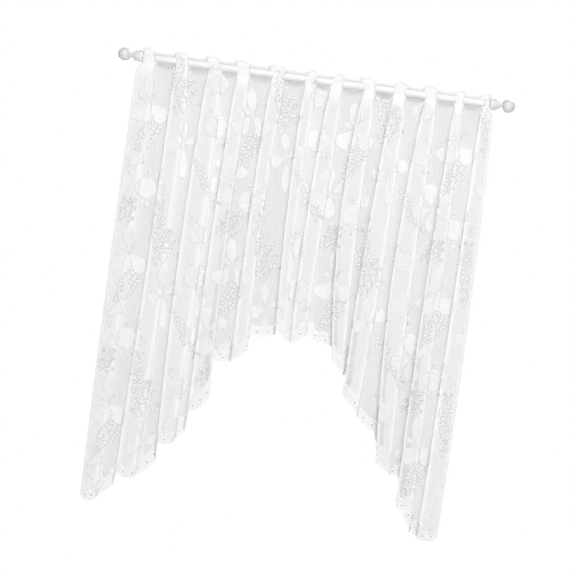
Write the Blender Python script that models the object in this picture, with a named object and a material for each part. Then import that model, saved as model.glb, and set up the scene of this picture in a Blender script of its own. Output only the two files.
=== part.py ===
"""An embroidered lace curtain on its rod, with two long sides and an arched, scalloped hem.

The rod runs along X, the viewer stands on the -Y side and Z points up. The origin is on the rod's
axis, half way along it. The cloth is one sheet: slits along its top let the rod pass behind twelve
narrow strips and in front of the cloth between them, and each strip goes on downwards as a fold.
"""

import math
from collections import namedtuple

import bmesh
import bpy
import numpy as np
from mathutils import Matrix

MM = 0.001

# The rod, its end caps and its ball ends
ROD_RADIUS = 8.0 * MM
ROD_SHOULDER = 357.7 * MM
ROD_SIDES = 24
PLUG_RADIUS = 6.0 * MM
PLUG_END = 373.0 * MM
CAP_START = 358.0 * MM
CAP_SOCKET_DEPTH = 15.5 * MM
CAP_SIDES = 32
GAP = 0.3 * MM
BALL_RADIUS = 13.5 * MM
BALL_CENTRE = 396.3 * MM
NECK_RADIUS = 3.8 * MM
BALL_STEPS = 12

# An end cap's outer side, from the cloth outwards
CapRow = namedtuple("CapRow", "along radius")
CAP_PROFILE = (
    CapRow(0.0, 11.0),
    CapRow(1.5, 12.3),
    CapRow(4.5, 12.8),
    CapRow(8.0, 12.4),
    CapRow(9.5, 11.2),
    CapRow(11.0, 11.8),
    CapRow(13.5, 11.0),
    CapRow(15.0, 9.6),
    CapRow(18.5, 7.8),
    CapRow(21.5, 5.6),
    CapRow(23.0, 4.8),
)

# The cloth
CLOTH_THICKNESS = 1.2 * MM
SLIT_WIDTH = 1.5
SLIT_TOP = 9.1
SLIT_BOTTOM = -12.5
TOP_EDGE_STRIP = 19.5
TOP_EDGE_CORNER = 17.0
TOP_EDGE_VALLEY = 12.5
FOLDS_START = -50.0
LOWEST = -930.0
LEVEL_STEP = 20.0
FOLD_ROLL = 18.0
ROWS_BELOW = (0.13, 0.28, 0.46, 0.66, 0.85, 1.0)
STRIP_STEPS = 3
WALL_STEPS = 3
VALLEY_STEPS = 3

# One row for each front strip, in millimetres from the rod's middle: where its left and right
# edges are at the top edge, on the rod, half way down and at the hem, how deep its fold is at the
# hem, how far the cloth behind reaches past each of its edges there, hidden by it (a negative
# number is cloth that shows), and how far below the rod's axis its hem hangs.
Strip = namedtuple(
    "Strip",
    "top_left top_right rod_left rod_right middle_left middle_right hem_left hem_right"
    " depth hidden_left hidden_right drop",
)
STRIPS = (
    Strip(-361.5, -344.4, -368.5, -331.4, -369.0, -335.0, -364.5, -336.0, 6.0, 0.0, -10.0, 911.0),
    Strip(-294.5, -270.6, -287.7, -263.1, -289.7, -258.3, -297.0, -264.0, 8.0, -8.0, -10.0, 850.0),
    Strip(-231.6, -209.1, -220.0, -196.1, -228.2, -190.6, -221.0, -195.0, 9.0, -5.0, -10.0, 780.0),
    Strip(-170.8, -142.8, -160.6, -136.7, -167.4, -139.8, -167.0, -130.5, 13.0, -8.0, 15.0, 690.0),
    Strip(-101.8, -69.0, -89.5, -64.2, -95.0, -74.5, -92.0, -67.0, 10.0, -10.0, -3.0, 590.0),
    Strip(-14.3, -2.0, -20.5, 0.7, -21.2, -6.0, -11.0, 7.0, 9.0, -4.0, -6.0, 540.0),
    Strip(38.3, 52.6, 32.8, 54.7, 20.5, 49.2, 22.0, 45.0, 8.0, -5.0, -6.0, 535.0),
    Strip(87.5, 118.9, 101.1, 122.3, 87.5, 121.0, 111.5, 132.0, 11.0, 9.0, -4.0, 570.0),
    Strip(161.9, 184.5, 161.9, 184.5, 146.2, 183.1, 141.0, 172.0, 12.0, 14.0, -8.0, 650.0),
    Strip(218.0, 244.6, 228.2, 249.4, 209.1, 246.0, 227.5, 253.0, 12.0, 12.0, -6.0, 760.0),
    Strip(291.1, 303.4, 289.0, 304.1, 279.5, 306.1, 279.0, 309.0, 12.0, 17.0, -6.0, 840.0),
    Strip(337.6, 361.5, 343.7, 367.5, 339.6, 374.6, 332.0, 369.5, 8.0, -4.0, 0.0, 909.0),
)

# The sheet's two outer edges are pushed in beside the end caps, by this share at these heights.
PINCHED_EDGE = 356.6
PinchRow = namedtuple("PinchRow", "height share")
END_PINCH = (
    PinchRow(-32.0, 0.0),
    PinchRow(-20.0, 0.25),
    PinchRow(SLIT_BOTTOM, 1.0),
    PinchRow(SLIT_TOP, 1.0),
    PinchRow(TOP_EDGE_STRIP, 0.0),
)

# How far in front of the rod's axis a strip's middle and its edges stand, by height: up to the
# fold's own depth they follow the rod. The cloth between two strips stands as far behind it.
HeadingRow = namedtuple("HeadingRow", "height middle edge")
HEADING = (
    HeadingRow(TOP_EDGE_STRIP, 4.2, 2.4),
    HeadingRow(SLIT_TOP, 3.6, 1.3),
    HeadingRow(7.9, 6.2, 4.7),
    HeadingRow(5.0, 8.8, 7.7),
    HeadingRow(0.0, 9.9, 9.2),
    HeadingRow(-5.0, 9.3, 7.8),
    HeadingRow(-9.0, 8.4, 4.6),
    HeadingRow(SLIT_BOTTOM, 7.8, 1.2),
    HeadingRow(-20.0, 9.0, 4.5),
    HeadingRow(-32.0, 10.0, 7.5),
    HeadingRow(FOLDS_START, 10.5, 8.5),
)

# Where one scallop of the hem ends and the next starts: how far across the flat cloth, as a share
# of its width, how far below the rod's axis, how far the scallop that starts there bulges, and
# where it is fullest: past its middle where the lean is above 1, and before it below 1.
Scallop = namedtuple("Scallop", "across drop bulge lean")
HEM = (
    Scallop(0.0, 896.0, 31.0, 0.75),
    Scallop(0.072, 847.0, 38.0, 1.2),
    Scallop(0.156, 775.0, 29.0, 1.25),
    Scallop(0.2285, 703.0, 32.0, 1.35),
    Scallop(0.285, 594.0, 31.0, 1.45),
    Scallop(0.3867, 531.0, 11.0, 1.0),
    Scallop(0.4469, 513.0, 26.0, 1.0),
    Scallop(0.5185, 514.0, 6.0, 1.0),
    Scallop(0.59, 536.0, 16.0, 1.0),
    Scallop(0.6493, 588.0, 13.0, 1.0),
    Scallop(0.7565, 696.0, 31.0, 0.7),
    Scallop(0.8509, 776.0, 14.0, 1.0),
    Scallop(0.9099, 847.0, 30.0, 0.75),
    Scallop(1.0, 893.0, 0.0, 1.0),
)
SCALLOP_ROUNDNESS = 0.6

# Colours and finishes
CLOTH_COLOUR = (0.86, 0.87, 0.85, 1.0)
ROD_COLOUR = (0.90, 0.90, 0.89, 1.0)
CAP_COLOUR = (0.82, 0.82, 0.82, 1.0)
BALL_COLOUR = (0.78, 0.78, 0.79, 1.0)


def clear_scene():
    """Removes whatever the scene holds."""
    for item in list(bpy.data.objects):
        bpy.data.objects.remove(item, do_unlink=True)


def material(name, colour, roughness, metallic):
    """Makes a plain finish."""
    finish = bpy.data.materials.new(name)
    finish.use_nodes = True
    shader = finish.node_tree.nodes["Principled BSDF"]
    shader.inputs["Base Color"].default_value = colour
    shader.inputs["Roughness"].default_value = roughness
    shader.inputs["Metallic"].default_value = metallic
    return finish


def add_object(name, mesh, finish):
    """Puts a mesh into the scene as one named piece with its finish."""
    mesh.materials.append(finish)
    item = bpy.data.objects.new(name, mesh)
    bpy.context.scene.collection.objects.link(item)
    return item


def through_three(first, middle, last, t):
    """A curve through first at 0, middle at a half and last at 1."""
    return first * (2 * t - 1) * (t - 1) + middle * 4 * t * (1 - t) + last * t * (2 * t - 1)


def column(field):
    """One column of the strips' table."""
    return np.array([getattr(strip, field) for strip in STRIPS])


def heading_value(field, height):
    """The heading's middle or edge at one height."""
    rows = sorted(HEADING)
    return float(np.interp(height, [row.height for row in rows], [getattr(row, field) for row in rows]))


def edge_places(height):
    """Where the strips' left and right edges are at one height."""
    down = np.clip(-height / column("drop"), 0.0, 1.03)
    up = min(max(height / TOP_EDGE_STRIP, 0.0), 1.0)
    edges = []
    for side in ("left", "right"):
        on_rod = column("rod_" + side)
        place = through_three(on_rod, column("middle_" + side), column("hem_" + side), down)
        edges.append(place + up * (column("top_" + side) - on_rod))
    pinch = float(np.interp(height, [row.height for row in END_PINCH], [row.share for row in END_PINCH]))
    edges[0][0] += pinch * (-PINCHED_EDGE - edges[0][0])
    edges[1][-1] += pinch * (PINCHED_EDGE - edges[1][-1])
    return edges


def fold_depths(height):
    """How far the strips' middles and edges stand in front of the rod's axis at one height."""
    middle = np.full(len(STRIPS), heading_value("middle", height))
    edge = np.full(len(STRIPS), heading_value("edge", height))
    if height < FOLDS_START:
        low = np.clip((FOLDS_START - height) / (column("drop") + FOLDS_START), 0.0, 1.03)
        middle = middle + low * (column("depth") - middle)
        edge = edge + low * (0.9 * column("depth") - edge)
    return middle, edge


def hidden_widths(height):
    """How far the cloth behind reaches past each strip's edges at one height."""
    grow = np.clip((SLIT_BOTTOM - height) / (column("drop") + SLIT_BOTTOM), 0.0, 1.03) ** 0.8
    showing = SLIT_WIDTH + 4.5 * min(max((SLIT_BOTTOM - height) / 60.0, 0.0), 1.0)
    return [column("hidden_" + side) * grow - showing * (1.0 - grow) for side in ("left", "right")]


def wall_line(start, end, roll, steps):
    """The cloth between a strip and the cloth behind it, without its last point."""
    t = np.arange(steps) / steps
    pull = roll + 0.8 * max(0.0, start[0] - end[0])
    fade = 2 * t**3 - 3 * t**2 + 1
    x = fade * start[0] + (1 - fade) * end[0] + pull * (2 * t**3 - 3 * t**2 + t)
    return x, fade * start[1] + (1 - fade) * end[1]


def arc_line(left, middle, right, steps):
    """The cloth of a strip, or of the stretch between two strips, without its last point."""
    t = np.arange(steps) / steps
    return [through_three(left[axis], middle[axis], right[axis], t) for axis in (0, 1)]


def cloth_line(height):
    """The cloth's line across at one height, left to right, as rows of x and y."""
    lefts, rights = edge_places(height)
    middles, edges = fold_depths(height)
    hidden_left, hidden_right = hidden_widths(height)
    roll = FOLD_ROLL * min(max((-8.0 - height) / 30.0, 0.1), 1.0)
    pieces = []
    last = len(STRIPS) - 1
    for i in range(len(STRIPS)):
        left, right = (lefts[i], -edges[i]), (rights[i], -edges[i])
        middle = ((lefts[i] + rights[i]) / 2, -middles[i])
        pieces.append(arc_line(left, middle, right, STRIP_STEPS))
        if i == last:
            pieces.append(([right[0]], [right[1]]))
            break
        back_edge = (edges[i] + edges[i + 1]) / 2
        back_left = (rights[i] - hidden_right[i], back_edge)
        back_right = (lefts[i + 1] + hidden_left[i + 1], back_edge)
        back_middle = ((back_left[0] + back_right[0]) / 2, (middles[i] + middles[i + 1]) / 2)
        pieces.append(wall_line(right, back_left, roll, WALL_STEPS))
        pieces.append(arc_line(back_left, back_middle, back_right, VALLEY_STEPS))
        pieces.append(wall_line(back_right, (lefts[i + 1], -edges[i + 1]), roll, WALL_STEPS))
    return np.hstack([np.array(piece) for piece in pieces])


def column_kinds():
    """For each column of the cloth's grid, what it belongs to and how far across that it is."""
    kinds = []
    for i in range(len(STRIPS)):
        kinds += [("strip", k / STRIP_STEPS) for k in range(STRIP_STEPS)]
        if i < len(STRIPS) - 1:
            kinds += [("wall", k / WALL_STEPS) for k in range(WALL_STEPS)]
            kinds += [("valley", k / VALLEY_STEPS) for k in range(VALLEY_STEPS)]
            kinds += [("wall_back", k / WALL_STEPS) for k in range(WALL_STEPS)]
    return kinds + [("strip", 1.0)]


def top_edge(kind, across):
    """The height of the cloth's top edge."""
    corner_share = (2 * across - 1) ** 2
    valley_corner = (TOP_EDGE_CORNER + TOP_EDGE_VALLEY) / 2
    if kind == "strip":
        return TOP_EDGE_STRIP + corner_share * (TOP_EDGE_CORNER - TOP_EDGE_STRIP)
    if kind == "valley":
        return TOP_EDGE_VALLEY + corner_share * (valley_corner - TOP_EDGE_VALLEY)
    share = across if kind == "wall" else 1 - across
    return TOP_EDGE_CORNER + share * (valley_corner - TOP_EDGE_CORNER)


def hem_drop(across):
    """How far below the rod's axis the hem is, by place across the flat cloth."""
    table = np.array(HEM)
    i = np.clip(np.searchsorted(table[:, 0], across, "right") - 1, 0, len(table) - 2)
    share = np.clip((across - table[i, 0]) / (table[i + 1, 0] - table[i, 0]), 0.0, 1.0)
    chord = table[i, 1] + share * (table[i + 1, 1] - table[i, 1])
    return chord + table[i, 2] * (1 - (2 * share ** table[i, 3] - 1) ** 2) ** SCALLOP_ROUNDNESS


def level_table():
    """The cloth's lines at heights from the top edge down, and each point's share of the width."""
    heights = [row.height for row in HEADING]
    heights += list(np.arange(FOLDS_START - LEVEL_STEP, LOWEST - LEVEL_STEP, -LEVEL_STEP))
    lines = np.array([cloth_line(height) for height in heights])
    steps = np.hypot(np.diff(lines[:, 0]), np.diff(lines[:, 1]))
    along = np.concatenate([np.zeros((len(heights), 1)), np.cumsum(steps, axis=1)], axis=1)
    return np.array(heights), lines, along / along[:, -1:]


def hem_heights(heights, across):
    """The height at which each column of the grid meets the hem."""
    below = heights <= FOLDS_START
    levels = heights[below]
    found = []
    for c in range(across.shape[1]):
        clear = levels + hem_drop(across[below, c])
        i = int(np.argmax(clear < 0.0))
        share = clear[i - 1] / (clear[i - 1] - clear[i])
        found.append(levels[i - 1] + share * (levels[i] - levels[i - 1]))
    return np.array(found)


def cloth_grid():
    """The cloth's points, row by row from the top edge to the hem, and the rows' kinds."""
    heights, lines, across = level_table()
    kinds = column_kinds()
    hem = hem_heights(heights, across)
    rows = [np.array([top_edge(kind, share) for kind, share in kinds])]
    rows += [np.full(len(kinds), row.height) for row in HEADING[1:]]
    rows += [FOLDS_START + share * (hem - FOLDS_START) for share in ROWS_BELOW]
    points = np.zeros((len(rows), len(kinds), 3))
    for r, row in enumerate(rows):
        for c, height in enumerate(row):
            points[r, c, 0] = np.interp(-height, -heights, lines[:, 0, c])
            points[r, c, 1] = np.interp(-height, -heights, lines[:, 1, c])
            points[r, c, 2] = height
    return points * MM, kinds


def in_slit(kinds, c, top, bottom):
    """Whether the grid's cell right of a column, between two heights, is inside a slit."""
    return kinds[c][0].startswith("wall") and top <= SLIT_TOP * MM and bottom >= SLIT_BOTTOM * MM


def build_curtain():
    """The whole cloth as one thin closed solid."""
    points, kinds = cloth_grid()
    mesh = bpy.data.meshes.new("curtain")
    shape = bmesh.new()
    corners = [[shape.verts.new(point) for point in row] for row in points]
    slack = 0.01 * MM
    for r in range(len(points) - 1):
        for c in range(len(kinds) - 1):
            top, bottom = points[r, c, 2] - slack, points[r + 1, c, 2] + slack
            if not in_slit(kinds, c, top, bottom):
                shape.faces.new((corners[r][c], corners[r + 1][c], corners[r + 1][c + 1], corners[r][c + 1]))
    loose = [corner for corner in shape.verts if not corner.link_faces]
    bmesh.ops.delete(shape, geom=loose, context="VERTS")
    shape.to_mesh(mesh)
    shape.free()
    mesh.shade_smooth()
    curtain = add_object("curtain", mesh, material("lace cloth", CLOTH_COLOUR, 0.85, 0.0))
    thicken = curtain.modifiers.new("thickness", "SOLIDIFY")
    thicken.thickness = CLOTH_THICKNESS
    thicken.offset = 0.0
    return curtain


def turned(name, profile, sides, finish):
    """A solid turned about X from (along, radius) pairs, whose first and last are on the axis."""
    mesh = bpy.data.meshes.new(name)
    shape = bmesh.new()
    half_side = math.pi / sides
    rings = []
    for along, radius in profile:
        if radius == 0.0:
            rings.append([shape.verts.new((along, 0.0, 0.0))])
            continue
        angles = [half_side + 2 * half_side * k for k in range(sides)]
        rings.append([shape.verts.new((along, radius * math.cos(a), radius * math.sin(a))) for a in angles])
    for first, second in zip(rings, rings[1:]):
        for k in range(sides):
            n = (k + 1) % sides
            if len(first) == 1:
                shape.faces.new((first[0], second[n], second[k]))
            elif len(second) == 1:
                shape.faces.new((first[k], first[n], second[0]))
            else:
                shape.faces.new((first[k], first[n], second[n], second[k]))
    bmesh.ops.recalc_face_normals(shape, faces=shape.faces)
    shape.to_mesh(mesh)
    shape.free()
    mesh.shade_smooth()
    mesh.set_sharp_from_angle(angle=math.radians(35.0))
    return add_object(name, mesh, finish)


def build_rod():
    """The straight round rod, whose narrower ends plug into the end caps."""
    end = [(ROD_SHOULDER, ROD_RADIUS), (ROD_SHOULDER, PLUG_RADIUS), (PLUG_END, PLUG_RADIUS), (PLUG_END, 0.0)]
    other_end = [(-along, radius) for along, radius in reversed(end)]
    return turned("rod", other_end + end, ROD_SIDES, material("white rod", ROD_COLOUR, 0.35, 0.0))


def build_cap(name, side, finish):
    """The ringed cap at one end of the rod, with the socket that the rod's plug sits in."""
    outside = [(CAP_START + row.along * MM, row.radius * MM) for row in CAP_PROFILE]
    socket = PLUG_RADIUS + GAP
    floor = CAP_START + CAP_SOCKET_DEPTH
    profile = [(floor, 0.0), (floor, socket), (CAP_START, socket)] + outside
    profile.append((outside[-1][0], 0.0))
    cap = turned(name, profile, CAP_SIDES, finish)
    face_side(cap, side)
    return cap


def build_ball(name, side, finish):
    """The ball at one end of the rod, on its short neck."""
    neck_start = CAP_START + CAP_PROFILE[-1].along * MM + GAP
    meet = math.asin(NECK_RADIUS / BALL_RADIUS)
    profile = [(neck_start, 0.0), (neck_start, NECK_RADIUS)]
    for k in range(BALL_STEPS + 1):
        turn = meet + (math.pi - meet) * k / BALL_STEPS
        radius = BALL_RADIUS * math.sin(turn) if k < BALL_STEPS else 0.0
        profile.append((BALL_CENTRE - BALL_RADIUS * math.cos(turn), radius))
    ball = turned(name, profile, CAP_SIDES, finish)
    face_side(ball, side)
    return ball


def face_side(item, side):
    """Turns a piece made for the right-hand end to the left-hand end where side is -1."""
    if side < 0:
        item.data.transform(Matrix.Rotation(math.pi, 4, "Z"))


def main():
    """Builds the curtain, its rod and the rod's ends."""
    clear_scene()
    build_curtain()
    build_rod()
    cap_finish = material("end cap", CAP_COLOUR, 0.3, 0.0)
    ball_finish = material("ball end", BALL_COLOUR, 0.25, 0.0)
    for place, side in (("left", -1), ("right", 1)):
        build_cap("cap_" + place, side, cap_finish)
        build_ball("ball_" + place, side, ball_finish)


main()
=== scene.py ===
"""Dresses the lace curtain: sheer net, embroidery, scalloped border, rod and rod ends, and a studio.

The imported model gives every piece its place. The cloth is drawn flat, in millimetres across from its
left edge and up from the rod's axis, and a model of its folds carries each point to where it hangs.
"""

import logging
import math
import random
from dataclasses import dataclass, field, replace
from enum import Enum
from typing import Callable, NamedTuple, Sequence

import bpy
import numpy as np
from mathutils import Matrix, Vector
from mathutils.geometry import delaunay_2d_cdt


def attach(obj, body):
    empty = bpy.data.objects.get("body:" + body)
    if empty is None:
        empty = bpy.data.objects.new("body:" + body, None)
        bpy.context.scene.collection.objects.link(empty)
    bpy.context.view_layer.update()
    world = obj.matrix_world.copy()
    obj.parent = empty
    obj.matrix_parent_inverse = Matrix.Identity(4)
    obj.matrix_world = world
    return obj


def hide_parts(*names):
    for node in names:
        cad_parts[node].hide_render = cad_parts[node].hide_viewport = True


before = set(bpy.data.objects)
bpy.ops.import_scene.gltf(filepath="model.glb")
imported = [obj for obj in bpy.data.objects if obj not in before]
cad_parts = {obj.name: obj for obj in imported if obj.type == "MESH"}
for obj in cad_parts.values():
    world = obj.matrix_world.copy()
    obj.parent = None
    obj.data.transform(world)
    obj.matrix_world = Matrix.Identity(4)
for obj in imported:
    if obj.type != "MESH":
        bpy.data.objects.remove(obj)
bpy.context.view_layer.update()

MM = 0.001
BODY = "root"
LOG = logging.getLogger("curtain")
TINY = 1e-12
FULL_TURN = 2 * math.pi

Array = np.ndarray
Chart = Callable[[Array], Array]


class Strip(NamedTuple):
    """A front strip of the cloth: its edges at four heights, its fold and its hem, in millimetres."""

    top_left: float
    top_right: float
    rod_left: float
    rod_right: float
    middle_left: float
    middle_right: float
    hem_left: float
    hem_right: float
    depth: float
    hidden_left: float
    hidden_right: float
    drop: float


class HeadingRow(NamedTuple):
    """How far in front of the rod's axis a strip's middle and edges stand at one height."""

    height: float
    middle: float
    edge: float


class PinchRow(NamedTuple):
    """How far the cloth's outer edges are pushed in beside the end caps at one height."""

    height: float
    share: float


class Scallop(NamedTuple):
    """Where a scallop of the hem starts across the flat cloth, how low, its bulge and its lean."""

    across: float
    drop: float
    bulge: float
    lean: float


STRIPS = (
    Strip(-361.5, -344.4, -368.5, -331.4, -369.0, -335.0, -364.5, -336.0, 6.0, 0.0, -10.0, 911.0),
    Strip(-294.5, -270.6, -287.7, -263.1, -289.7, -258.3, -297.0, -264.0, 8.0, -8.0, -10.0, 850.0),
    Strip(-231.6, -209.1, -220.0, -196.1, -228.2, -190.6, -221.0, -195.0, 9.0, -5.0, -10.0, 780.0),
    Strip(-170.8, -142.8, -160.6, -136.7, -167.4, -139.8, -167.0, -130.5, 13.0, -8.0, 15.0, 690.0),
    Strip(-101.8, -69.0, -89.5, -64.2, -95.0, -74.5, -92.0, -67.0, 10.0, -10.0, -3.0, 590.0),
    Strip(-14.3, -2.0, -20.5, 0.7, -21.2, -6.0, -11.0, 7.0, 9.0, -4.0, -6.0, 540.0),
    Strip(38.3, 52.6, 32.8, 54.7, 20.5, 49.2, 22.0, 45.0, 8.0, -5.0, -6.0, 535.0),
    Strip(87.5, 118.9, 101.1, 122.3, 87.5, 121.0, 111.5, 132.0, 11.0, 9.0, -4.0, 570.0),
    Strip(161.9, 184.5, 161.9, 184.5, 146.2, 183.1, 141.0, 172.0, 12.0, 14.0, -8.0, 650.0),
    Strip(218.0, 244.6, 228.2, 249.4, 209.1, 246.0, 227.5, 253.0, 12.0, 12.0, -6.0, 760.0),
    Strip(291.1, 303.4, 289.0, 304.1, 279.5, 306.1, 279.0, 309.0, 12.0, 17.0, -6.0, 840.0),
    Strip(337.6, 361.5, 343.7, 367.5, 339.6, 374.6, 332.0, 369.5, 8.0, -4.0, 0.0, 909.0),
)
PAST_HEM = 1.03
MOTIF_MARGIN = 9.0
SLIT_TOP = 9.1
SLIT_BOTTOM = -12.5
TOP_EDGE_STRIP = 19.5
FOLDS_START = -50.0
HEADING = (
    HeadingRow(TOP_EDGE_STRIP, 4.2, 2.4),
    HeadingRow(SLIT_TOP, 3.6, 1.3),
    HeadingRow(7.9, 6.2, 4.7),
    HeadingRow(5.0, 8.8, 7.7),
    HeadingRow(0.0, 9.9, 9.2),
    HeadingRow(-5.0, 9.3, 7.8),
    HeadingRow(-9.0, 8.4, 4.6),
    HeadingRow(SLIT_BOTTOM, 7.8, 1.2),
    HeadingRow(-20.0, 9.0, 4.5),
    HeadingRow(-32.0, 10.0, 7.5),
    HeadingRow(FOLDS_START, 10.5, 8.5),
)
END_PINCH = (
    PinchRow(-32.0, 0.0),
    PinchRow(-20.0, 0.25),
    PinchRow(SLIT_BOTTOM, 1.0),
    PinchRow(SLIT_TOP, 1.0),
    PinchRow(TOP_EDGE_STRIP, 0.0),
)
HEM = (
    Scallop(0.0, 896.0, 31.0, 0.75),
    Scallop(0.072, 847.0, 38.0, 1.2),
    Scallop(0.156, 775.0, 29.0, 1.25),
    Scallop(0.2285, 703.0, 32.0, 1.35),
    Scallop(0.285, 594.0, 31.0, 1.45),
    Scallop(0.3867, 531.0, 11.0, 1.0),
    Scallop(0.4469, 513.0, 26.0, 1.0),
    Scallop(0.5185, 514.0, 6.0, 1.0),
    Scallop(0.59, 536.0, 16.0, 1.0),
    Scallop(0.6493, 588.0, 13.0, 1.0),
    Scallop(0.7565, 696.0, 31.0, 0.7),
    Scallop(0.8509, 776.0, 14.0, 1.0),
    Scallop(0.9099, 847.0, 30.0, 0.75),
    Scallop(1.0, 893.0, 0.0, 1.0),
)


class Fold(Enum):
    """What a column of the cloth belongs to."""

    STRIP = "a strip in front of the rod"
    WALL_IN = "the turn from a strip back to the cloth behind"
    VALLEY = "the cloth between two strips, behind the rod"
    WALL_OUT = "the turn from the cloth behind forward to a strip"


def strip_column(name: str) -> Array:
    """One column of the strips' table."""
    return np.array([getattr(strip, name) for strip in STRIPS])


def table_value(rows: Sequence[NamedTuple], name: str, height: float) -> float:
    """A table's value at one height.

    Args:
        rows: The table's rows, each with a height.
        name: The column to read.
        height: The height in millimetres above the rod's axis.

    Returns:
        The value, straight between the two rows next to that height.
    """
    rising = sorted(rows)
    return float(np.interp(height, [row.height for row in rising], [getattr(row, name) for row in rising]))


def held(value: float, low: float = 0.0) -> float:
    """A number kept between another and 1."""
    return min(max(value, low), 1.0)


def unit(rows: Array) -> Array:
    """Rows scaled to a length of 1."""
    return rows / np.maximum(np.linalg.norm(rows, axis=1, keepdims=True), TINY)


def between(wanted: Array, own: Array, rows: Array) -> Array:
    """Rows of two numbers, each read straight between the rows' own places."""
    return np.stack([np.interp(wanted, own, rows[:, axis]) for axis in (0, 1)], axis=1)


def table_between(table: Array, rows: Array, columns: Array) -> Array:
    """A table's values at places between its rows and between its columns."""
    row, column = (
        np.minimum(place.astype(int), size - 2) for place, size in zip((rows, columns), table.shape)
    )
    down, along = rows - row, columns - column
    upper = table[row, column] * (1 - along) + table[row, column + 1] * along
    lower = table[row + 1, column] * (1 - along) + table[row + 1, column + 1] * along
    return upper * (1 - down) + lower * down


def lengths_along(path: Array) -> Array:
    """How far along a line each of its points is."""
    return np.concatenate([[0.0], np.cumsum(np.linalg.norm(np.diff(path, axis=0), axis=1))])


def left_of(path: Array, closed: bool = False) -> Array:
    """The way to the left of a line at each of its points."""
    if closed:
        ahead = np.roll(path, -1, axis=0) - np.roll(path, 1, axis=0)
    else:
        ahead = np.gradient(path, axis=0)
    ahead = unit(ahead)
    return np.stack([-ahead[:, 1], ahead[:, 0]], axis=1)


def round_points(angles: Array) -> Array:
    """Points of a circle of radius 1."""
    return np.stack([np.cos(angles), np.sin(angles)], axis=1)


def full_circle(count: int) -> Array:
    """Even angles all round."""
    return np.linspace(0.0, FULL_TURN, count, endpoint=False)


def outward(degrees: float, reach: float) -> tuple[float, float]:
    """The place at one distance from the origin, in one direction."""
    way = math.radians(degrees)
    return reach * math.cos(way), reach * math.sin(way)


def through_three(first: Array, middle: Array, last: Array, t: Array) -> Array:
    """A curve through first at 0, middle at a half and last at 1."""
    return first * (2 * t - 1) * (t - 1) + middle * 4 * t * (1 - t) + last * t * (2 * t - 1)


def smooth_step(low: float, high: float, value: Array) -> Array:
    """A soft rise from 0 at low to 1 at high."""
    t = np.clip((value - low) / (high - low), 0.0, 1.0)
    return t * t * (3.0 - 2.0 * t)


def hem_drop(across: Array) -> Array:
    """How far below the rod's axis the hem is.

    Args:
        across: Places across the flat cloth, as shares of its width.

    Returns:
        The drops in millimetres.
    """
    roundness = 0.6
    table = np.array(HEM)
    i = np.clip(np.searchsorted(table[:, 0], across, "right") - 1, 0, len(table) - 2)
    share = np.clip((across - table[i, 0]) / (table[i + 1, 0] - table[i, 0]), 0.0, 1.0)
    chord = table[i, 1] + share * (table[i + 1, 1] - table[i, 1])
    return chord + table[i, 2] * (1 - (2 * share ** table[i, 3] - 1) ** 2) ** roundness


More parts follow.
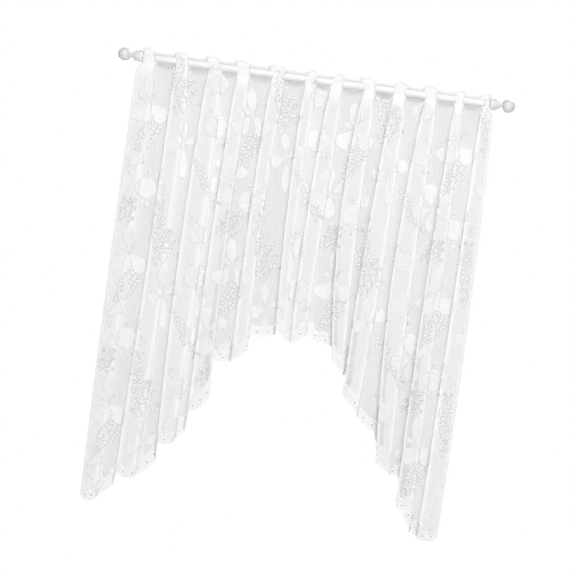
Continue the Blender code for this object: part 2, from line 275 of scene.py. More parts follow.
@dataclass
class HungCloth:
    """The cloth's folds, which carry a point of the flat cloth to where it hangs."""

    flat_width: float = 1120.0
    slit_width: float = 1.5
    edge_depth_share: float = 0.9
    pinched_edge: float = 356.6
    fold_roll: float = 18.0
    top_corner: float = 17.0
    top_valley: float = 12.5
    highest: float = 20.0
    lowest: float = -940.0
    level_step: float = 2.5
    strip_steps: int = 8
    wall_steps: int = 7
    valley_steps: int = 8
    samples_across: int = 1401
    showing_levels: int = 4
    showing_edge: float = 430.0
    fold_shading: float = 0.2
    before_last: float = 1.001
    folds: list[tuple[Fold, float]] = field(init=False)
    levels: Array = field(init=False)
    lines: Array = field(init=False)
    shares: Array = field(init=False)
    even_lines: Array = field(init=False)
    showing: Array = field(init=False)

    def __post_init__(self) -> None:
        """Works out the cloth's line at every level, once, and which of its points show from the front."""
        self.folds = self.column_folds()
        self.levels = np.arange(self.highest, self.lowest, -self.level_step)
        self.lines = np.array([self.line(height) for height in self.levels])
        steps = np.hypot(np.diff(self.lines[:, 0]), np.diff(self.lines[:, 1]))
        along = np.concatenate([np.zeros((len(steps), 1)), np.cumsum(steps, axis=1)], axis=1)
        self.shares = along / along[:, -1:]
        self.shares[self.levels > FOLDS_START] = self.shares[self.levels <= FOLDS_START][0]
        even = np.linspace(0.0, 1.0, self.samples_across)
        resampled = [
            [np.interp(even, shares, line[axis]) for axis in (0, 1)]
            for shares, line in zip(self.shares, self.lines)
        ]
        self.even_lines = np.array(resampled)
        self.showing = np.array([self.front_row(line) for line in self.even_lines[:: self.showing_levels]])

    def edge_places(self, height: float) -> list[Array]:
        """Where the strips' left and right edges are at one height."""
        down = np.clip(-height / strip_column("drop"), 0.0, PAST_HEM)
        up = held(height / TOP_EDGE_STRIP)
        edges = []
        for side in ("left", "right"):
            on_rod = strip_column("rod_" + side)
            place = through_three(on_rod, strip_column("middle_" + side), strip_column("hem_" + side), down)
            edges.append(place + up * (strip_column("top_" + side) - on_rod))
        pinch = table_value(END_PINCH, "share", height)
        edges[0][0] += pinch * (-self.pinched_edge - edges[0][0])
        edges[1][-1] += pinch * (self.pinched_edge - edges[1][-1])
        return edges

    def fold_depths(self, height: float) -> tuple[Array, Array]:
        """How far the strips' middles and edges stand in front of the rod's axis at one height."""
        middle = np.full(len(STRIPS), table_value(HEADING, "middle", height))
        edge = np.full(len(STRIPS), table_value(HEADING, "edge", height))
        if height < FOLDS_START:
            depth = strip_column("depth")
            low = np.clip((FOLDS_START - height) / (strip_column("drop") + FOLDS_START), 0.0, PAST_HEM)
            middle = middle + low * (depth - middle)
            edge = edge + low * (self.edge_depth_share * depth - edge)
        return middle, edge

    def hidden_widths(self, height: float) -> list[Array]:
        """How far the cloth behind reaches past each strip's edges at one height."""
        early, wider, within = 0.8, 4.5, 60.0
        drop = strip_column("drop")
        grow = np.clip((SLIT_BOTTOM - height) / (drop + SLIT_BOTTOM), 0.0, PAST_HEM) ** early
        showing = self.slit_width + wider * held((SLIT_BOTTOM - height) / within)
        sides = [strip_column("hidden_" + side) for side in ("left", "right")]
        return [hidden * grow - showing * (1.0 - grow) for hidden in sides]

    def wall(self, start: Sequence[float], end: Sequence[float], roll: float) -> Array:
        """The cloth between a strip and the cloth behind it, without its last point."""
        wider = 0.8
        t = np.arange(self.wall_steps) / self.wall_steps
        pull = roll + wider * max(0.0, start[0] - end[0])
        fade = 2 * t**3 - 3 * t**2 + 1
        x = fade * start[0] + (1 - fade) * end[0] + pull * (2 * t**3 - 3 * t**2 + t)
        return np.array([x, fade * start[1] + (1 - fade) * end[1]])

    @staticmethod
    def arc(points: Sequence[Sequence[float]], steps: int) -> Array:
        """The cloth of a strip, or between two strips, without its last point."""
        t = np.arange(steps) / steps
        return np.array([through_three(*[point[axis] for point in points], t) for axis in (0, 1)])

    def line(self, height: float) -> Array:
        """The cloth's line at one height, left to right.

        Args:
            height: The height in millimetres above the rod's axis.

        Returns:
            A row of x and a row of y, in millimetres.
        """
        lefts, rights = self.edge_places(height)
        middles, edges = self.fold_depths(height)
        hidden_left, hidden_right = self.hidden_widths(height)
        roll_start, roll_within, least_roll = -8.0, 30.0, 0.1
        roll = self.fold_roll * held((roll_start - height) / roll_within, least_roll)
        pieces = []
        for i in range(len(STRIPS)):
            left, right = (lefts[i], -edges[i]), (rights[i], -edges[i])
            middle = ((lefts[i] + rights[i]) / 2, -middles[i])
            pieces.append(self.arc((left, middle, right), self.strip_steps))
            if i == len(STRIPS) - 1:
                pieces.append(np.array([[right[0]], [right[1]]]))
                break
            back_edge = (edges[i] + edges[i + 1]) / 2
            back_left = (rights[i] - hidden_right[i], back_edge)
            back_right = (lefts[i + 1] + hidden_left[i + 1], back_edge)
            back_middle = ((back_left[0] + back_right[0]) / 2, (middles[i] + middles[i + 1]) / 2)
            pieces.append(self.wall(right, back_left, roll))
            pieces.append(self.arc((back_left, back_middle, back_right), self.valley_steps))
            pieces.append(self.wall(back_right, (lefts[i + 1], -edges[i + 1]), roll))
        return np.hstack(pieces)

    def column_folds(self) -> list[tuple[Fold, float]]:
        """For each column of the cloth's lines, its fold and how far across the fold it is."""
        folds = []
        for i in range(len(STRIPS)):
            folds += [(Fold.STRIP, k / self.strip_steps) for k in range(self.strip_steps)]
            if i < len(STRIPS) - 1:
                folds += [(Fold.WALL_IN, k / self.wall_steps) for k in range(self.wall_steps)]
                folds += [(Fold.VALLEY, k / self.valley_steps) for k in range(self.valley_steps)]
                folds += [(Fold.WALL_OUT, k / self.wall_steps) for k in range(self.wall_steps)]
        return folds + [(Fold.STRIP, 1.0)]

    def top_edge(self) -> Array:
        """The height of the cloth's top edge in each column."""
        meet = (self.top_corner + self.top_valley) / 2
        heights = []
        for fold, across in self.folds:
            corner = (2 * across - 1) ** 2
            if fold is Fold.STRIP:
                heights.append(TOP_EDGE_STRIP + corner * (self.top_corner - TOP_EDGE_STRIP))
            elif fold is Fold.VALLEY:
                heights.append(self.top_valley + corner * (meet - self.top_valley))
            else:
                share = across if fold is Fold.WALL_IN else 1 - across
                heights.append(self.top_corner + share * (meet - self.top_corner))
        return np.array(heights)

    def hem_edge(self) -> Array:
        """The height at which each column of the cloth's lines meets the hem."""
        below = self.levels <= FOLDS_START
        levels = self.levels[below]
        clear = levels[:, None] + hem_drop(self.shares[below])
        last = np.argmax(clear < 0.0, axis=0)
        every = np.arange(clear.shape[1])
        share = clear[last - 1, every] / (clear[last - 1, every] - clear[last, every])
        return levels[last - 1] + share * (levels[last] - levels[last - 1])

    def level_place(self, height: Array) -> Array:
        """How many levels down each height is, always before the last level."""
        return np.clip((self.highest - height) / self.level_step, 0.0, len(self.levels) - self.before_last)

    def at_columns(self, height: Array) -> tuple[Array, Array]:
        """Where the cloth's columns hang.

        Args:
            height: One height for each column, in rows, in millimetres.

        Returns:
            The points in millimetres and each one's share of the flat width.
        """
        place = self.level_place(height)
        row = place.astype(int)
        part = place - row
        every = np.arange(height.shape[-1])
        points = [
            self.lines[row, axis, every] * (1 - part) + self.lines[row + 1, axis, every] * part
            for axis in (0, 1)
        ]
        shares = self.shares[row, every] * (1 - part) + self.shares[row + 1, every] * part
        return np.stack([*points, height], axis=-1), shares

    def hang(self, flat: Array) -> Array:
        """Carries flat points to where they hang.

        Args:
            flat: Rows of across and up, in millimetres.

        Returns:
            Rows of x, y and z, in millimetres.
        """
        rows = self.level_place(flat[:, 1])
        columns = np.clip(flat[:, 0] / self.flat_width, 0.0, 1.0) * (self.samples_across - 1)
        points = [table_between(self.even_lines[:, axis], rows, columns) for axis in (0, 1)]
        return np.stack([*points, flat[:, 1]], axis=-1)

    def facing(self, flat: Array) -> Array:
        """The cloth's front normal at flat points."""
        step_across, step_up = 0.8, 2.5
        across = self.hang(flat + (step_across, 0.0)) - self.hang(flat - (step_across, 0.0))
        up = self.hang(flat + (0.0, step_up)) - self.hang(flat - (0.0, step_up))
        return unit(np.cross(across, up))

    def light_turn(self, facing: Array) -> Array:
        """What the light, which passes through such thin cloth, takes off the slopes of its folds.

        Args:
            facing: The cloth's normals.

        Returns:
            What to add to each normal.
        """
        least = 0.35
        flatter = facing * (self.fold_shading, 1.0, self.fold_shading)
        front = facing[:, 1] < 0.0
        flatter[:, 1] = np.where(front, np.minimum(facing[:, 1], -least), np.maximum(facing[:, 1], least))
        return unit(flatter) - facing

    def front_row(self, line: Array) -> Array:
        """Where on the flat cloth each place is that shows from the front, at one height.

        Args:
            line: The cloth's line at that height, in even steps across the flat cloth.

        Returns:
            A place across the flat cloth for each whole millimetre from left to right.
        """
        line_x, line_y = line
        wanted = np.arange(-self.showing_edge, self.showing_edge + 1.0)
        step = self.flat_width / (self.samples_across - 1)
        crosses = (line_x[:-1] <= wanted[:, None]) != (line_x[1:] <= wanted[:, None])
        nearest = np.argmin(np.where(crosses, line_y[:-1], np.inf), axis=1)
        across = nearest * step
        across = np.where(wanted < line_x[0], wanted - line_x[0], across)
        across = np.where(wanted > line_x[-1], self.flat_width + wanted - line_x[-1], across)
        return np.maximum.accumulate(across)

    def front_chart(self, seen: Array) -> Array:
        """Carries points as seen from the front, in x and height, to the flat cloth."""
        last_row, last_column = np.array(self.showing.shape) - self.before_last
        rows = (self.highest - seen[:, 1]) / (self.level_step * self.showing_levels)
        rows = np.clip(rows, 0.0, last_row)
        columns = np.clip(seen[:, 0] + self.showing_edge, 0.0, last_column)
        return np.stack([table_between(self.showing, rows, columns), seen[:, 1]], axis=1)

    def covers(self, flat: Array, margin: float) -> Array:
        """Whether flat points are on the cloth, at least a margin above its hem."""
        edge = 0.002
        share = flat[:, 0] / self.flat_width
        on = (share > edge) & (share < 1.0 - edge)
        return on & (-flat[:, 1] < hem_drop(np.clip(share, 0.0, 1.0)) - margin)

    def flat_area(self) -> float:
        """The flat cloth's area in square metres."""
        return float(np.mean(self.flat_lengths()) * self.flat_width * MM * MM)

    def flat_length(self) -> float:
        """The flat cloth's longest length in metres."""
        return float(self.flat_lengths().max() * MM)

    @staticmethod
    def flat_lengths() -> Array:
        """The flat cloth's length at even places across it, in millimetres."""
        count = 2001
        return hem_drop(np.linspace(0.0, 1.0, count)) + TOP_EDGE_STRIP


@dataclass(frozen=True)
class Placing:
    """How a drawing is moved: turned and scaled about its origin, then carried to a place."""

    at: tuple[float, float] = (0.0, 0.0)
    turn: float = 0.0
    size: float = 1.0

    def carry(self, points: Array) -> Array:
        """Moves points."""
        angle = math.radians(self.turn)
        rotation = np.array([[math.cos(angle), math.sin(angle)], [-math.sin(angle), math.cos(angle)]])
        return points * self.size @ rotation + np.asarray(self.at)


@dataclass
class Plate:
    """A thin embroidered shape, drawn flat: points, triangles, how far each point is raised."""

    points: Array
    faces: Array
    rise: Array
    stitch: Array

    def placed(self, placing: Placing) -> "Plate":
        """A copy of the plate at another place."""
        return Plate(placing.carry(self.points), self.faces, self.rise, self.stitch * placing.size)

    @staticmethod
    def joined(plates: Sequence["Plate"]) -> "Plate":
        """All the plates as one, each still separate from the others."""
        starts = np.cumsum([0] + [len(plate.points) for plate in plates[:-1]])
        return Plate(
            np.concatenate([plate.points for plate in plates]),
            np.concatenate([plate.faces + start for plate, start in zip(plates, starts)]),
            np.concatenate([plate.rise for plate in plates]),
            np.concatenate([plate.stitch for plate in plates]),
        )


def inside_ring(points: Array, ring: Array) -> Array:
    """Which points are inside a closed outline."""
    following = np.roll(ring, -1, axis=0)
    above = ring[None, :, 1] > points[:, None, 1]
    crosses = above != (following[None, :, 1] > points[:, None, 1])
    rise = following[:, 1] - ring[:, 1]
    slope = (following[:, 0] - ring[:, 0]) / np.where(np.abs(rise) < TINY, TINY, rise)
    left = points[:, None, 0] < ring[None, :, 0] + (points[:, None, 1] - ring[None, :, 1]) * slope[None]
    return (crosses & left).sum(axis=1) % 2 == 1


def ring_distance(points: Array, ring: Array) -> Array:
    """How far points are from a closed outline."""
    along = np.roll(ring, -1, axis=0) - ring
    apart = points[:, None] - ring[None]
    share = np.clip((apart * along).sum(-1) / np.maximum((along**2).sum(-1), TINY), 0.0, 1.0)
    return np.linalg.norm(apart - share[..., None] * along[None], axis=-1).min(axis=1)


def triangulated(rings: Sequence[Array], inner: Array) -> tuple[Array, Array]:
    """Fills an outline with triangles that all face forward.

    Args:
        rings: The closed outline, then its holes.
        inner: Points inside it that the triangles use too.

    Returns:
        The points, and the triangles as rows of corners.
    """
    edges, faces, first = [], [], 0
    for ring in rings:
        count = len(ring)
        edges += [(first + k, first + (k + 1) % count) for k in range(count)]
        faces.append([first + k for k in range(count)])
        first += count
    every = [Vector(point) for point in np.concatenate([*rings, inner])]
    inside_with_holes, nearest = 2, 1e-4
    points, _, triangles, *_ = delaunay_2d_cdt(every, edges, faces, inside_with_holes, nearest)
    points = np.array([tuple(point) for point in points])
    triangles = np.array(triangles)
    a, b, c = (points[triangles[:, k]] for k in range(3))
    turned = (b[:, 0] - a[:, 0]) * (c[:, 1] - a[:, 1]) - (b[:, 1] - a[:, 1]) * (c[:, 0] - a[:, 0]) < 0.0
    triangles[turned] = triangles[turned][:, ::-1]
    return points, triangles


def filled(
    outline: Array, holes: Sequence[Array], spacing: float, rim: float, raised: float, rim_raised: float
) -> Plate:
    """A plate inside an outline, with a raised line just inside its edges.

    Args:
        outline: The closed outline, in millimetres.
        holes: Closed outlines that are cut out.
        spacing: How far apart the points inside are, so that the plate can follow the folds.
        rim: How far inside the edges the raised line is.
        raised: How far the plate's middle is raised.
        rim_raised: How far the line inside its edges is raised.

    Returns:
        The plate, whose stitch coordinates are its own points.
    """
    row_share, seam_room, inner_room, edge_raised, slope_end = 0.87, 0.8, 1.6, 0.15, 2.2
    rings = [np.asarray(ring) for ring in (outline, *holes)]
    low, high = rings[0].min(axis=0), rings[0].max(axis=0)
    rows = np.arange(low[1] + spacing / 2, high[1], spacing * row_share)
    columns = np.arange(low[0], high[0] + spacing, spacing)
    grid = [(x + spacing / 2 * (j % 2), y) for j, y in enumerate(rows) for x in columns]
    seams = []
    for ring in rings:
        sideways = left_of(ring, closed=True)
        seams += [ring + rim * sideways, ring - rim * sideways]
    within = np.concatenate([*seams, np.array(grid).reshape(-1, 2)])
    keep = inside_ring(within, rings[0])
    for hole in rings[1:]:
        keep &= ~inside_ring(within, hole)
    away = np.min([ring_distance(within, ring) for ring in rings], axis=0)
    seam_count = sum(len(seam) for seam in seams)
    near = np.where(np.arange(len(within)) < seam_count, rim * seam_room, rim * inner_room)
    points, triangles = triangulated(rings, within[keep & (away > near)])
    depth = np.min([ring_distance(points, ring) for ring in rings], axis=0)
    rise = np.interp(depth, [0.0, rim, rim * slope_end], [edge_raised, rim_raised, raised])
    return Plate(points, triangles, rise, points.copy())


def stroke(
    path: Array,
    width: float | Array,
    across: int,
    raised: float,
    edge_raised: float,
    closed: bool = False,
) -> Plate:
    """A plate along a line, such as a stem, a cord or a binding.

    Args:
        path: The line's points, in millimetres.
        width: Its width, or one width for each point.
        across: How many faces it is wide.
        raised: How far its middle is raised.
        edge_raised: How far its edges are raised.
        closed: Whether its end joins its start.

    Returns:
        The plate, whose stitch coordinates run along it and across it.
    """
    path = np.asarray(path, float)
    sideways = left_of(path, closed)
    widths = np.broadcast_to(np.asarray(width, float), (len(path),))
    places = np.linspace(-0.5, 0.5, across + 1)
    points = path[:, None] + sideways[:, None] * (widths[:, None] * places[None])[..., None]
    stitch = np.broadcast_arrays(lengths_along(path)[:, None], widths[:, None] * places[None])
    stitch = np.stack(stitch, axis=-1).reshape(-1, 2)
    crown = edge_raised + (raised - edge_raised) * (1 - (2 * places) ** 2)
    rise = np.broadcast_to(crown[None], points.shape[:2])
    count, wide = points.shape[:2]
    faces = []
    for i in range(count if closed else count - 1):
        j = (i + 1) % count
        for k in range(across):
            corner = (i * wide + k, j * wide + k, j * wide + k + 1, i * wide + k + 1)
            faces += [(corner[0], corner[1], corner[2]), (corner[0], corner[2], corner[3])]
    return Plate(points.reshape(-1, 2), np.array(faces), rise.reshape(-1).copy(), stitch)


def smooth_line(points: Sequence[Sequence[float]], steps: int) -> Array:
    """A smooth line through a few points."""
    knots = np.asarray(points, float)
    ends = np.concatenate([[2 * knots[0] - knots[1]], knots, [2 * knots[-1] - knots[-2]]])
    t = np.linspace(0.0, 1.0, steps, endpoint=False)[:, None]
    parts = []
    for before, start, end, after in zip(ends, ends[1:], ends[2:], ends[3:]):
        square = 2 * before - 5 * start + 4 * end - after
        cube = 3 * start - before - 3 * end + after
        parts.append(0.5 * (2 * start + (end - before) * t + (square * t**2 + cube * t**3)))
    return np.concatenate([*parts, knots[-1:]])


def lobe(length: float, width: float, fullest: float, bluntness: float, steps: int) -> Array:
    """A petal's, wing's or leaf's outline, from the origin along x.

    Args:
        length: How long it is.
        width: How wide it is at its fullest.
        fullest: Where along it that is, as a share of its length.
        bluntness: How round its ends are: 1 is a lens, less is rounder.
        steps: How many points each side has.

    Returns:
        The closed outline, anticlockwise.
    """
    t = np.linspace(0.0, 1.0, steps)
    place = (1.0 - np.cos(math.pi * t)) / 2
    bend = math.log(0.5) / math.log(fullest)
    half = width / 2 * np.sin(math.pi * np.clip(place, 0.0, 1.0) ** bend) ** bluntness
    lower = np.stack([length * place, -half], axis=1)
    upper = np.stack([length * place, half], axis=1)[::-1]
    return np.concatenate([lower, upper[1:-1]])


def fan(length: float, width: float) -> Array:
    """A broad wing's outline, from the origin along x, widest near its far end.

    Args:
        length: How long it is.
        width: How wide it is at its widest.

    Returns:
        The closed outline, anticlockwise.
    """
    corners = (
        (0.0, 0.0),
        (0.36, -0.25),
        (0.74, -0.47),
        (0.95, -0.34),
        (1.0, -0.04),
        (0.94, 0.28),
        (0.80, 0.49),
        (0.44, 0.34),
        (0.0, 0.0),
    )
    return smooth_line(np.array(corners) * (length, width), 3)[:-1]


class Wing(NamedTuple):
    """One wing of a butterfly: its direction in degrees, and its length, width and fullest place."""

    angle: float
    length: float
    width: float
    fullest: float


def followed(points: Array, chart: Chart, closed: bool) -> tuple[Array, Array]:
    """Carries a line to the flat cloth, with enough points where a fold stretches it.

    Args:
        points: The line's points as seen.
        chart: Carries points as seen to the flat cloth.
        closed: Whether its end joins its start.

    Returns:
        The flat points, and for each its place between the line's own points.
    """
    seen_step, most_stretch, flat_step = 1.5, 1.6, 3.2
    path = np.concatenate([points, points[:1]]) if closed else np.asarray(points)
    counts = np.ceil(np.linalg.norm(np.diff(path, axis=0), axis=1) / seen_step).astype(int).clip(1)
    places = np.concatenate([*(i + np.arange(n) / n for i, n in enumerate(counts)), [len(path) - 1]])
    own = np.arange(len(path))
    dense = between(places, own, path)
    flat = chart(dense)
    seen_lengths = np.linalg.norm(np.diff(dense, axis=0), axis=1)
    flat_lengths = np.linalg.norm(np.diff(flat, axis=0), axis=1)
    stretched = flat_lengths > seen_lengths * most_stretch
    keep = (places == np.round(places)) | np.append(stretched, False) | np.insert(stretched, 0, False)
    flat, places = flat[keep], places[keep]
    counts = np.ceil(np.linalg.norm(np.diff(flat, axis=0), axis=1) / flat_step).astype(int).clip(1)
    finer = np.concatenate([*(i + np.arange(n) / n for i, n in enumerate(counts)), [len(flat) - 1]])
    own = np.arange(len(flat))
    places = np.interp(finer, own, places)
    flat = between(finer, own, flat)
    return (flat[:-1], places[:-1]) if closed else (flat, places)


@dataclass(frozen=True)
class Patch:
    """A drawn outline with holes, filled with satin stitch."""

    outline: Array
    holes: tuple[Array, ...] = ()
    spacing: float = 3.0
    rim: float = 1.0
    raised: float = 0.6
    rim_raised: float = 0.85

    def moved(self, placing: Placing) -> "Patch":
        """The patch at another place."""
        holes = tuple(placing.carry(hole) for hole in self.holes)
        return replace(self, outline=placing.carry(self.outline), holes=holes)

    def plate(self, chart: Chart) -> Plate:
        """The patch as a plate on the flat cloth."""
        rings = [followed(ring, chart, True)[0] for ring in (self.outline, *self.holes)]
        return filled(rings[0], rings[1:], self.spacing, self.rim, self.raised, self.rim_raised)


@dataclass(frozen=True)
class Line:
    """A drawn line, such as a stem or a curled petal."""

    path: Array
    widths: Array
    across: int = 2
    raised: float = 0.8
    edge_raised: float = 0.15

    def moved(self, placing: Placing) -> "Line":
        """The line at another place."""
        return replace(self, path=placing.carry(self.path), widths=self.widths * placing.size)

    def plate(self, chart: Chart) -> Plate:
        """The line as a plate on the flat cloth."""
        path, places = followed(self.path, chart, False)
        widths = np.interp(places, np.arange(len(self.widths)), self.widths)
        return stroke(path, widths, self.across, self.raised, self.edge_raised)


@dataclass(frozen=True)
class Dot:
    """A small shape that keeps its form, wherever its middle is."""

    form: Plate
    placing: Placing = Placing()

    def moved(self, placing: Placing) -> "Dot":
        """The shape at another place."""
        at = placing.carry(np.array([self.placing.at]))[0]
        moved = Placing(tuple(at), self.placing.turn + placing.turn, self.placing.size * placing.size)
        return replace(self, placing=moved)

    def plate(self, chart: Chart) -> Plate:
        """The shape as a plate on the flat cloth."""
        at = chart(np.array([self.placing.at]))[0]
        return self.form.placed(replace(self.placing, at=tuple(at)))


Drawn = Patch | Line | Dot


def moved(drawing: Sequence[Drawn], at: Sequence[float], turn: float, size: float = 1.0) -> list[Drawn]:
    """A drawing at another place."""
    placing = Placing(tuple(at), turn, size)
    return [item.moved(placing) for item in drawing]


@dataclass(frozen=True)
class Butterfly:
    """A butterfly with its wings, a body and two feelers."""

    wings: tuple[Wing, ...]
    body_angle: float
    body_length: float = 22.0
    body_width: float = 4.2
    feeler_length: float = 20.0
    feeler_width: float = 1.4
    vein_width: float = 1.5
    vein_start: float = 3.0
    vein_reach: float = 0.62
    vein_spread: float = 0.2
    vein_bend: float = 0.7
    vein_tip: float = 0.5
    wing_start: float = 1.6
    feeler_inset: float = 1.0
    feeler_apart: float = 0.5
    feeler_bow: float = 2.6
    feeler_spread: float = 0.45
    feeler_flare: float = 1.6

    def wing(self, wing: Wing) -> list[Drawn]:
        """A wing with raised veins."""
        roundness, broad = 0.6, 0.55
        if wing.width > broad * wing.length:
            outline = fan(wing.length, wing.width)
        else:
            outline = lobe(wing.length, wing.width, wing.fullest, roundness, 14)
        drawing: list[Drawn] = [Patch(outline)]
        for side in (-1, 1):
            reach, spread = wing.length * self.vein_reach, side * wing.width * self.vein_spread
            middle = (reach * 0.5, spread * self.vein_bend)
            path = smooth_line(((self.vein_start, 0.0), middle, (reach, spread)), 4)
            widths = np.linspace(self.vein_width, self.vein_tip, len(path))
            drawing.append(Line(path, widths, raised=1.05, edge_raised=0.6))
        return moved(drawing, outward(wing.angle, self.wing_start), wing.angle)

    def draw(self) -> list[Drawn]:
        """The whole butterfly."""
        body = lobe(self.body_length, self.body_width, fullest=0.4, bluntness=0.5, steps=9)
        body = body - (self.body_length * 0.5, 0.0)
        drawing: list[Drawn] = [Patch(body, spacing=2.5, rim=0.9, raised=1.2, rim_raised=1.0)]
        head, far = self.body_length * 0.5, self.feeler_length
        for side in (-1, 1):
            start = (head - self.feeler_inset, side * self.feeler_apart)
            middle = (head + far * 0.5, side * self.feeler_bow)
            tip = (head + far, side * far * self.feeler_spread)
            path = smooth_line((start, middle, tip), 5)
            end_width = self.feeler_width * self.feeler_flare
            drawing.append(Line(path, np.linspace(self.feeler_width, end_width, len(path))))
        wings = [item for wing in self.wings for item in self.wing(wing)]
        return wings + moved(drawing, (0.0, 0.0), self.body_angle)


@dataclass(frozen=True)
class Leaf:
    """A pointed leaf with a slit along its midrib."""

    length: float
    width: float
    slit_share: float = 0.6
    slit_start: float = 0.2
    slit_width: float = 1.0

    def draw(self) -> list[Drawn]:
        """The leaf, from its stalk at the origin along x."""
        slit = lobe(self.length * self.slit_share, self.slit_width, fullest=0.5, bluntness=1.0, steps=6)
        outline = lobe(self.length, self.width, fullest=0.42, bluntness=1.0, steps=10)
        return [Patch(outline, (slit + (self.length * self.slit_start, 0.0),))]


@dataclass(frozen=True)
class Floret:
    """A small flower of round petals with an open middle."""

    radius: float
    petals: int = 5
    points_each: int = 3
    raised: float = 1.35
    middle_share: float = 0.3
    edge_raised: float = 0.15

    def form(self) -> Plate:
        """The floret round the origin."""
        count = self.petals * self.points_each
        angles = full_circle(count)
        wave = np.abs(np.cos(angles * self.petals / 2)) ** 0.6
        radii = (np.full(count, 0.26), 0.52 + 0.16 * wave, 0.66 + 0.34 * wave)
        rings = [self.radius * r[:, None] * round_points(angles) for r in radii]
        faces = []
        for ring in range(len(radii) - 1):
            for k in range(count):
                a, b = ring * count + k, ring * count + (k + 1) % count
                faces += [(a, a + count, b + count), (a, b + count, b)]
        rise = np.repeat((self.middle_share * self.raised, self.raised, self.edge_raised), count)
        stitch = np.concatenate([np.stack([angles * self.radius, r], axis=1) for r in radii])
        return Plate(np.concatenate(rings), np.array(faces), rise, stitch)


@dataclass(frozen=True)
class Bloom:
    """A small open flower of separate petals round a floret."""

    radius: float = 7.4
    petals: int = 5
    petal_width: float = 0.62
    open_radius: float = 1.6
    middle_radius: float = 1.9

    def form(self) -> Plate:
        """The flower round the origin."""
        length, width = self.radius - self.open_radius, self.radius * self.petal_width
        outline = lobe(length, width, fullest=0.62, bluntness=0.6, steps=8)
        petal = filled(outline, (), spacing=2.5, rim=0.8, raised=0.7, rim_raised=0.95)
        petal = petal.placed(Placing((self.open_radius, 0.0)))
        petals = [petal.placed(Placing(turn=360.0 / self.petals * k)) for k in range(self.petals)]
        return Plate.joined([*petals, Floret(self.middle_radius).form()])


class Petals(NamedTuple):
    """A ring of a rose's petals: how far out, how many and how wide, out and width by the radius."""

    out: float
    count: int
    width: float


class LeafPlace(NamedTuple):
    """A leaf beside a rose: its direction and distance from the middle, its turn and its size."""

    around: float
    out: float
    turn: float
    length: float
    width: float


@dataclass(frozen=True)
class Rose:
    """A full rose of curled petals, with leaves and a small flower round it."""

    radius: float = 21.0
    petals: tuple[Petals, ...] = (
        Petals(0.24, 2, 0.2),
        Petals(0.47, 3, 0.22),
        Petals(0.70, 5, 0.24),
        Petals(0.92, 7, 0.22),
    )
    leaves: tuple[LeafPlace, ...] = (
        LeafPlace(48.0, 27.0, 62.0, 29.0, 19.0),
        LeafPlace(10.0, 28.0, 25.0, 13.0, 5.5),
        LeafPlace(0.0, 30.0, 0.0, 14.0, 5.5),
        LeafPlace(-12.0, 29.0, -22.0, 13.0, 5.5),
        LeafPlace(-62.0, 24.0, -50.0, 15.0, 7.0),
        LeafPlace(-80.0, 25.0, -82.0, 17.0, 7.5),
        LeafPlace(-98.0, 24.0, -112.0, 14.0, 7.0),
    )
    bloom: tuple[float, float] = (92.0, 31.0)
    bloom_turn: float = 12.0
    edge_points: int = 42
    outer_petals: int = 5
    waviness: float = 0.09
    heart: float = 0.12
    petal_sweep: float = 0.93
    ring_turn: float = 40.0

    def petal(self, at: float, sweep: float, width: float) -> Line:
        """A curled petal on a circle round the rose's middle."""
        slimmest, bluntness, reach = 0.3, 0.7, 0.96
        angles = np.linspace(-sweep / 2, sweep / 2, 9)
        swell = np.cos(angles / sweep * math.pi * reach) ** bluntness
        widths = width * (slimmest + (1 - slimmest) * swell)
        return Line(at * round_points(angles), widths, across=3, raised=1.35, edge_raised=0.45)

    def draw(self) -> list[Drawn]:
        """The whole rose."""
        angles = full_circle(self.edge_points)
        circle = round_points(angles)
        edge = self.radius * (1.0 + self.waviness * np.cos(self.outer_petals * angles))[:, None] * circle
        middle = self.radius * self.heart * circle[::4]
        heart = Patch(middle, spacing=2.0, rim=0.8, raised=1.35, rim_raised=1.2)
        drawing: list[Drawn] = [Patch(edge), heart]
        for ring, (out, count, width) in enumerate(self.petals):
            sweep = FULL_TURN / count * self.petal_sweep
            petal = self.petal(out * self.radius, sweep, width * self.radius)
            turns = [360.0 / count * k + self.ring_turn * ring for k in range(count)]
            drawing += [petal.moved(Placing(turn=turn)) for turn in turns]
        for leaf in self.leaves:
            at = outward(leaf.around, leaf.out)
            drawing += moved(Leaf(leaf.length, leaf.width).draw(), at, leaf.turn)
        return drawing + [Dot(Bloom().form(), Placing(outward(*self.bloom), self.bloom_turn))]


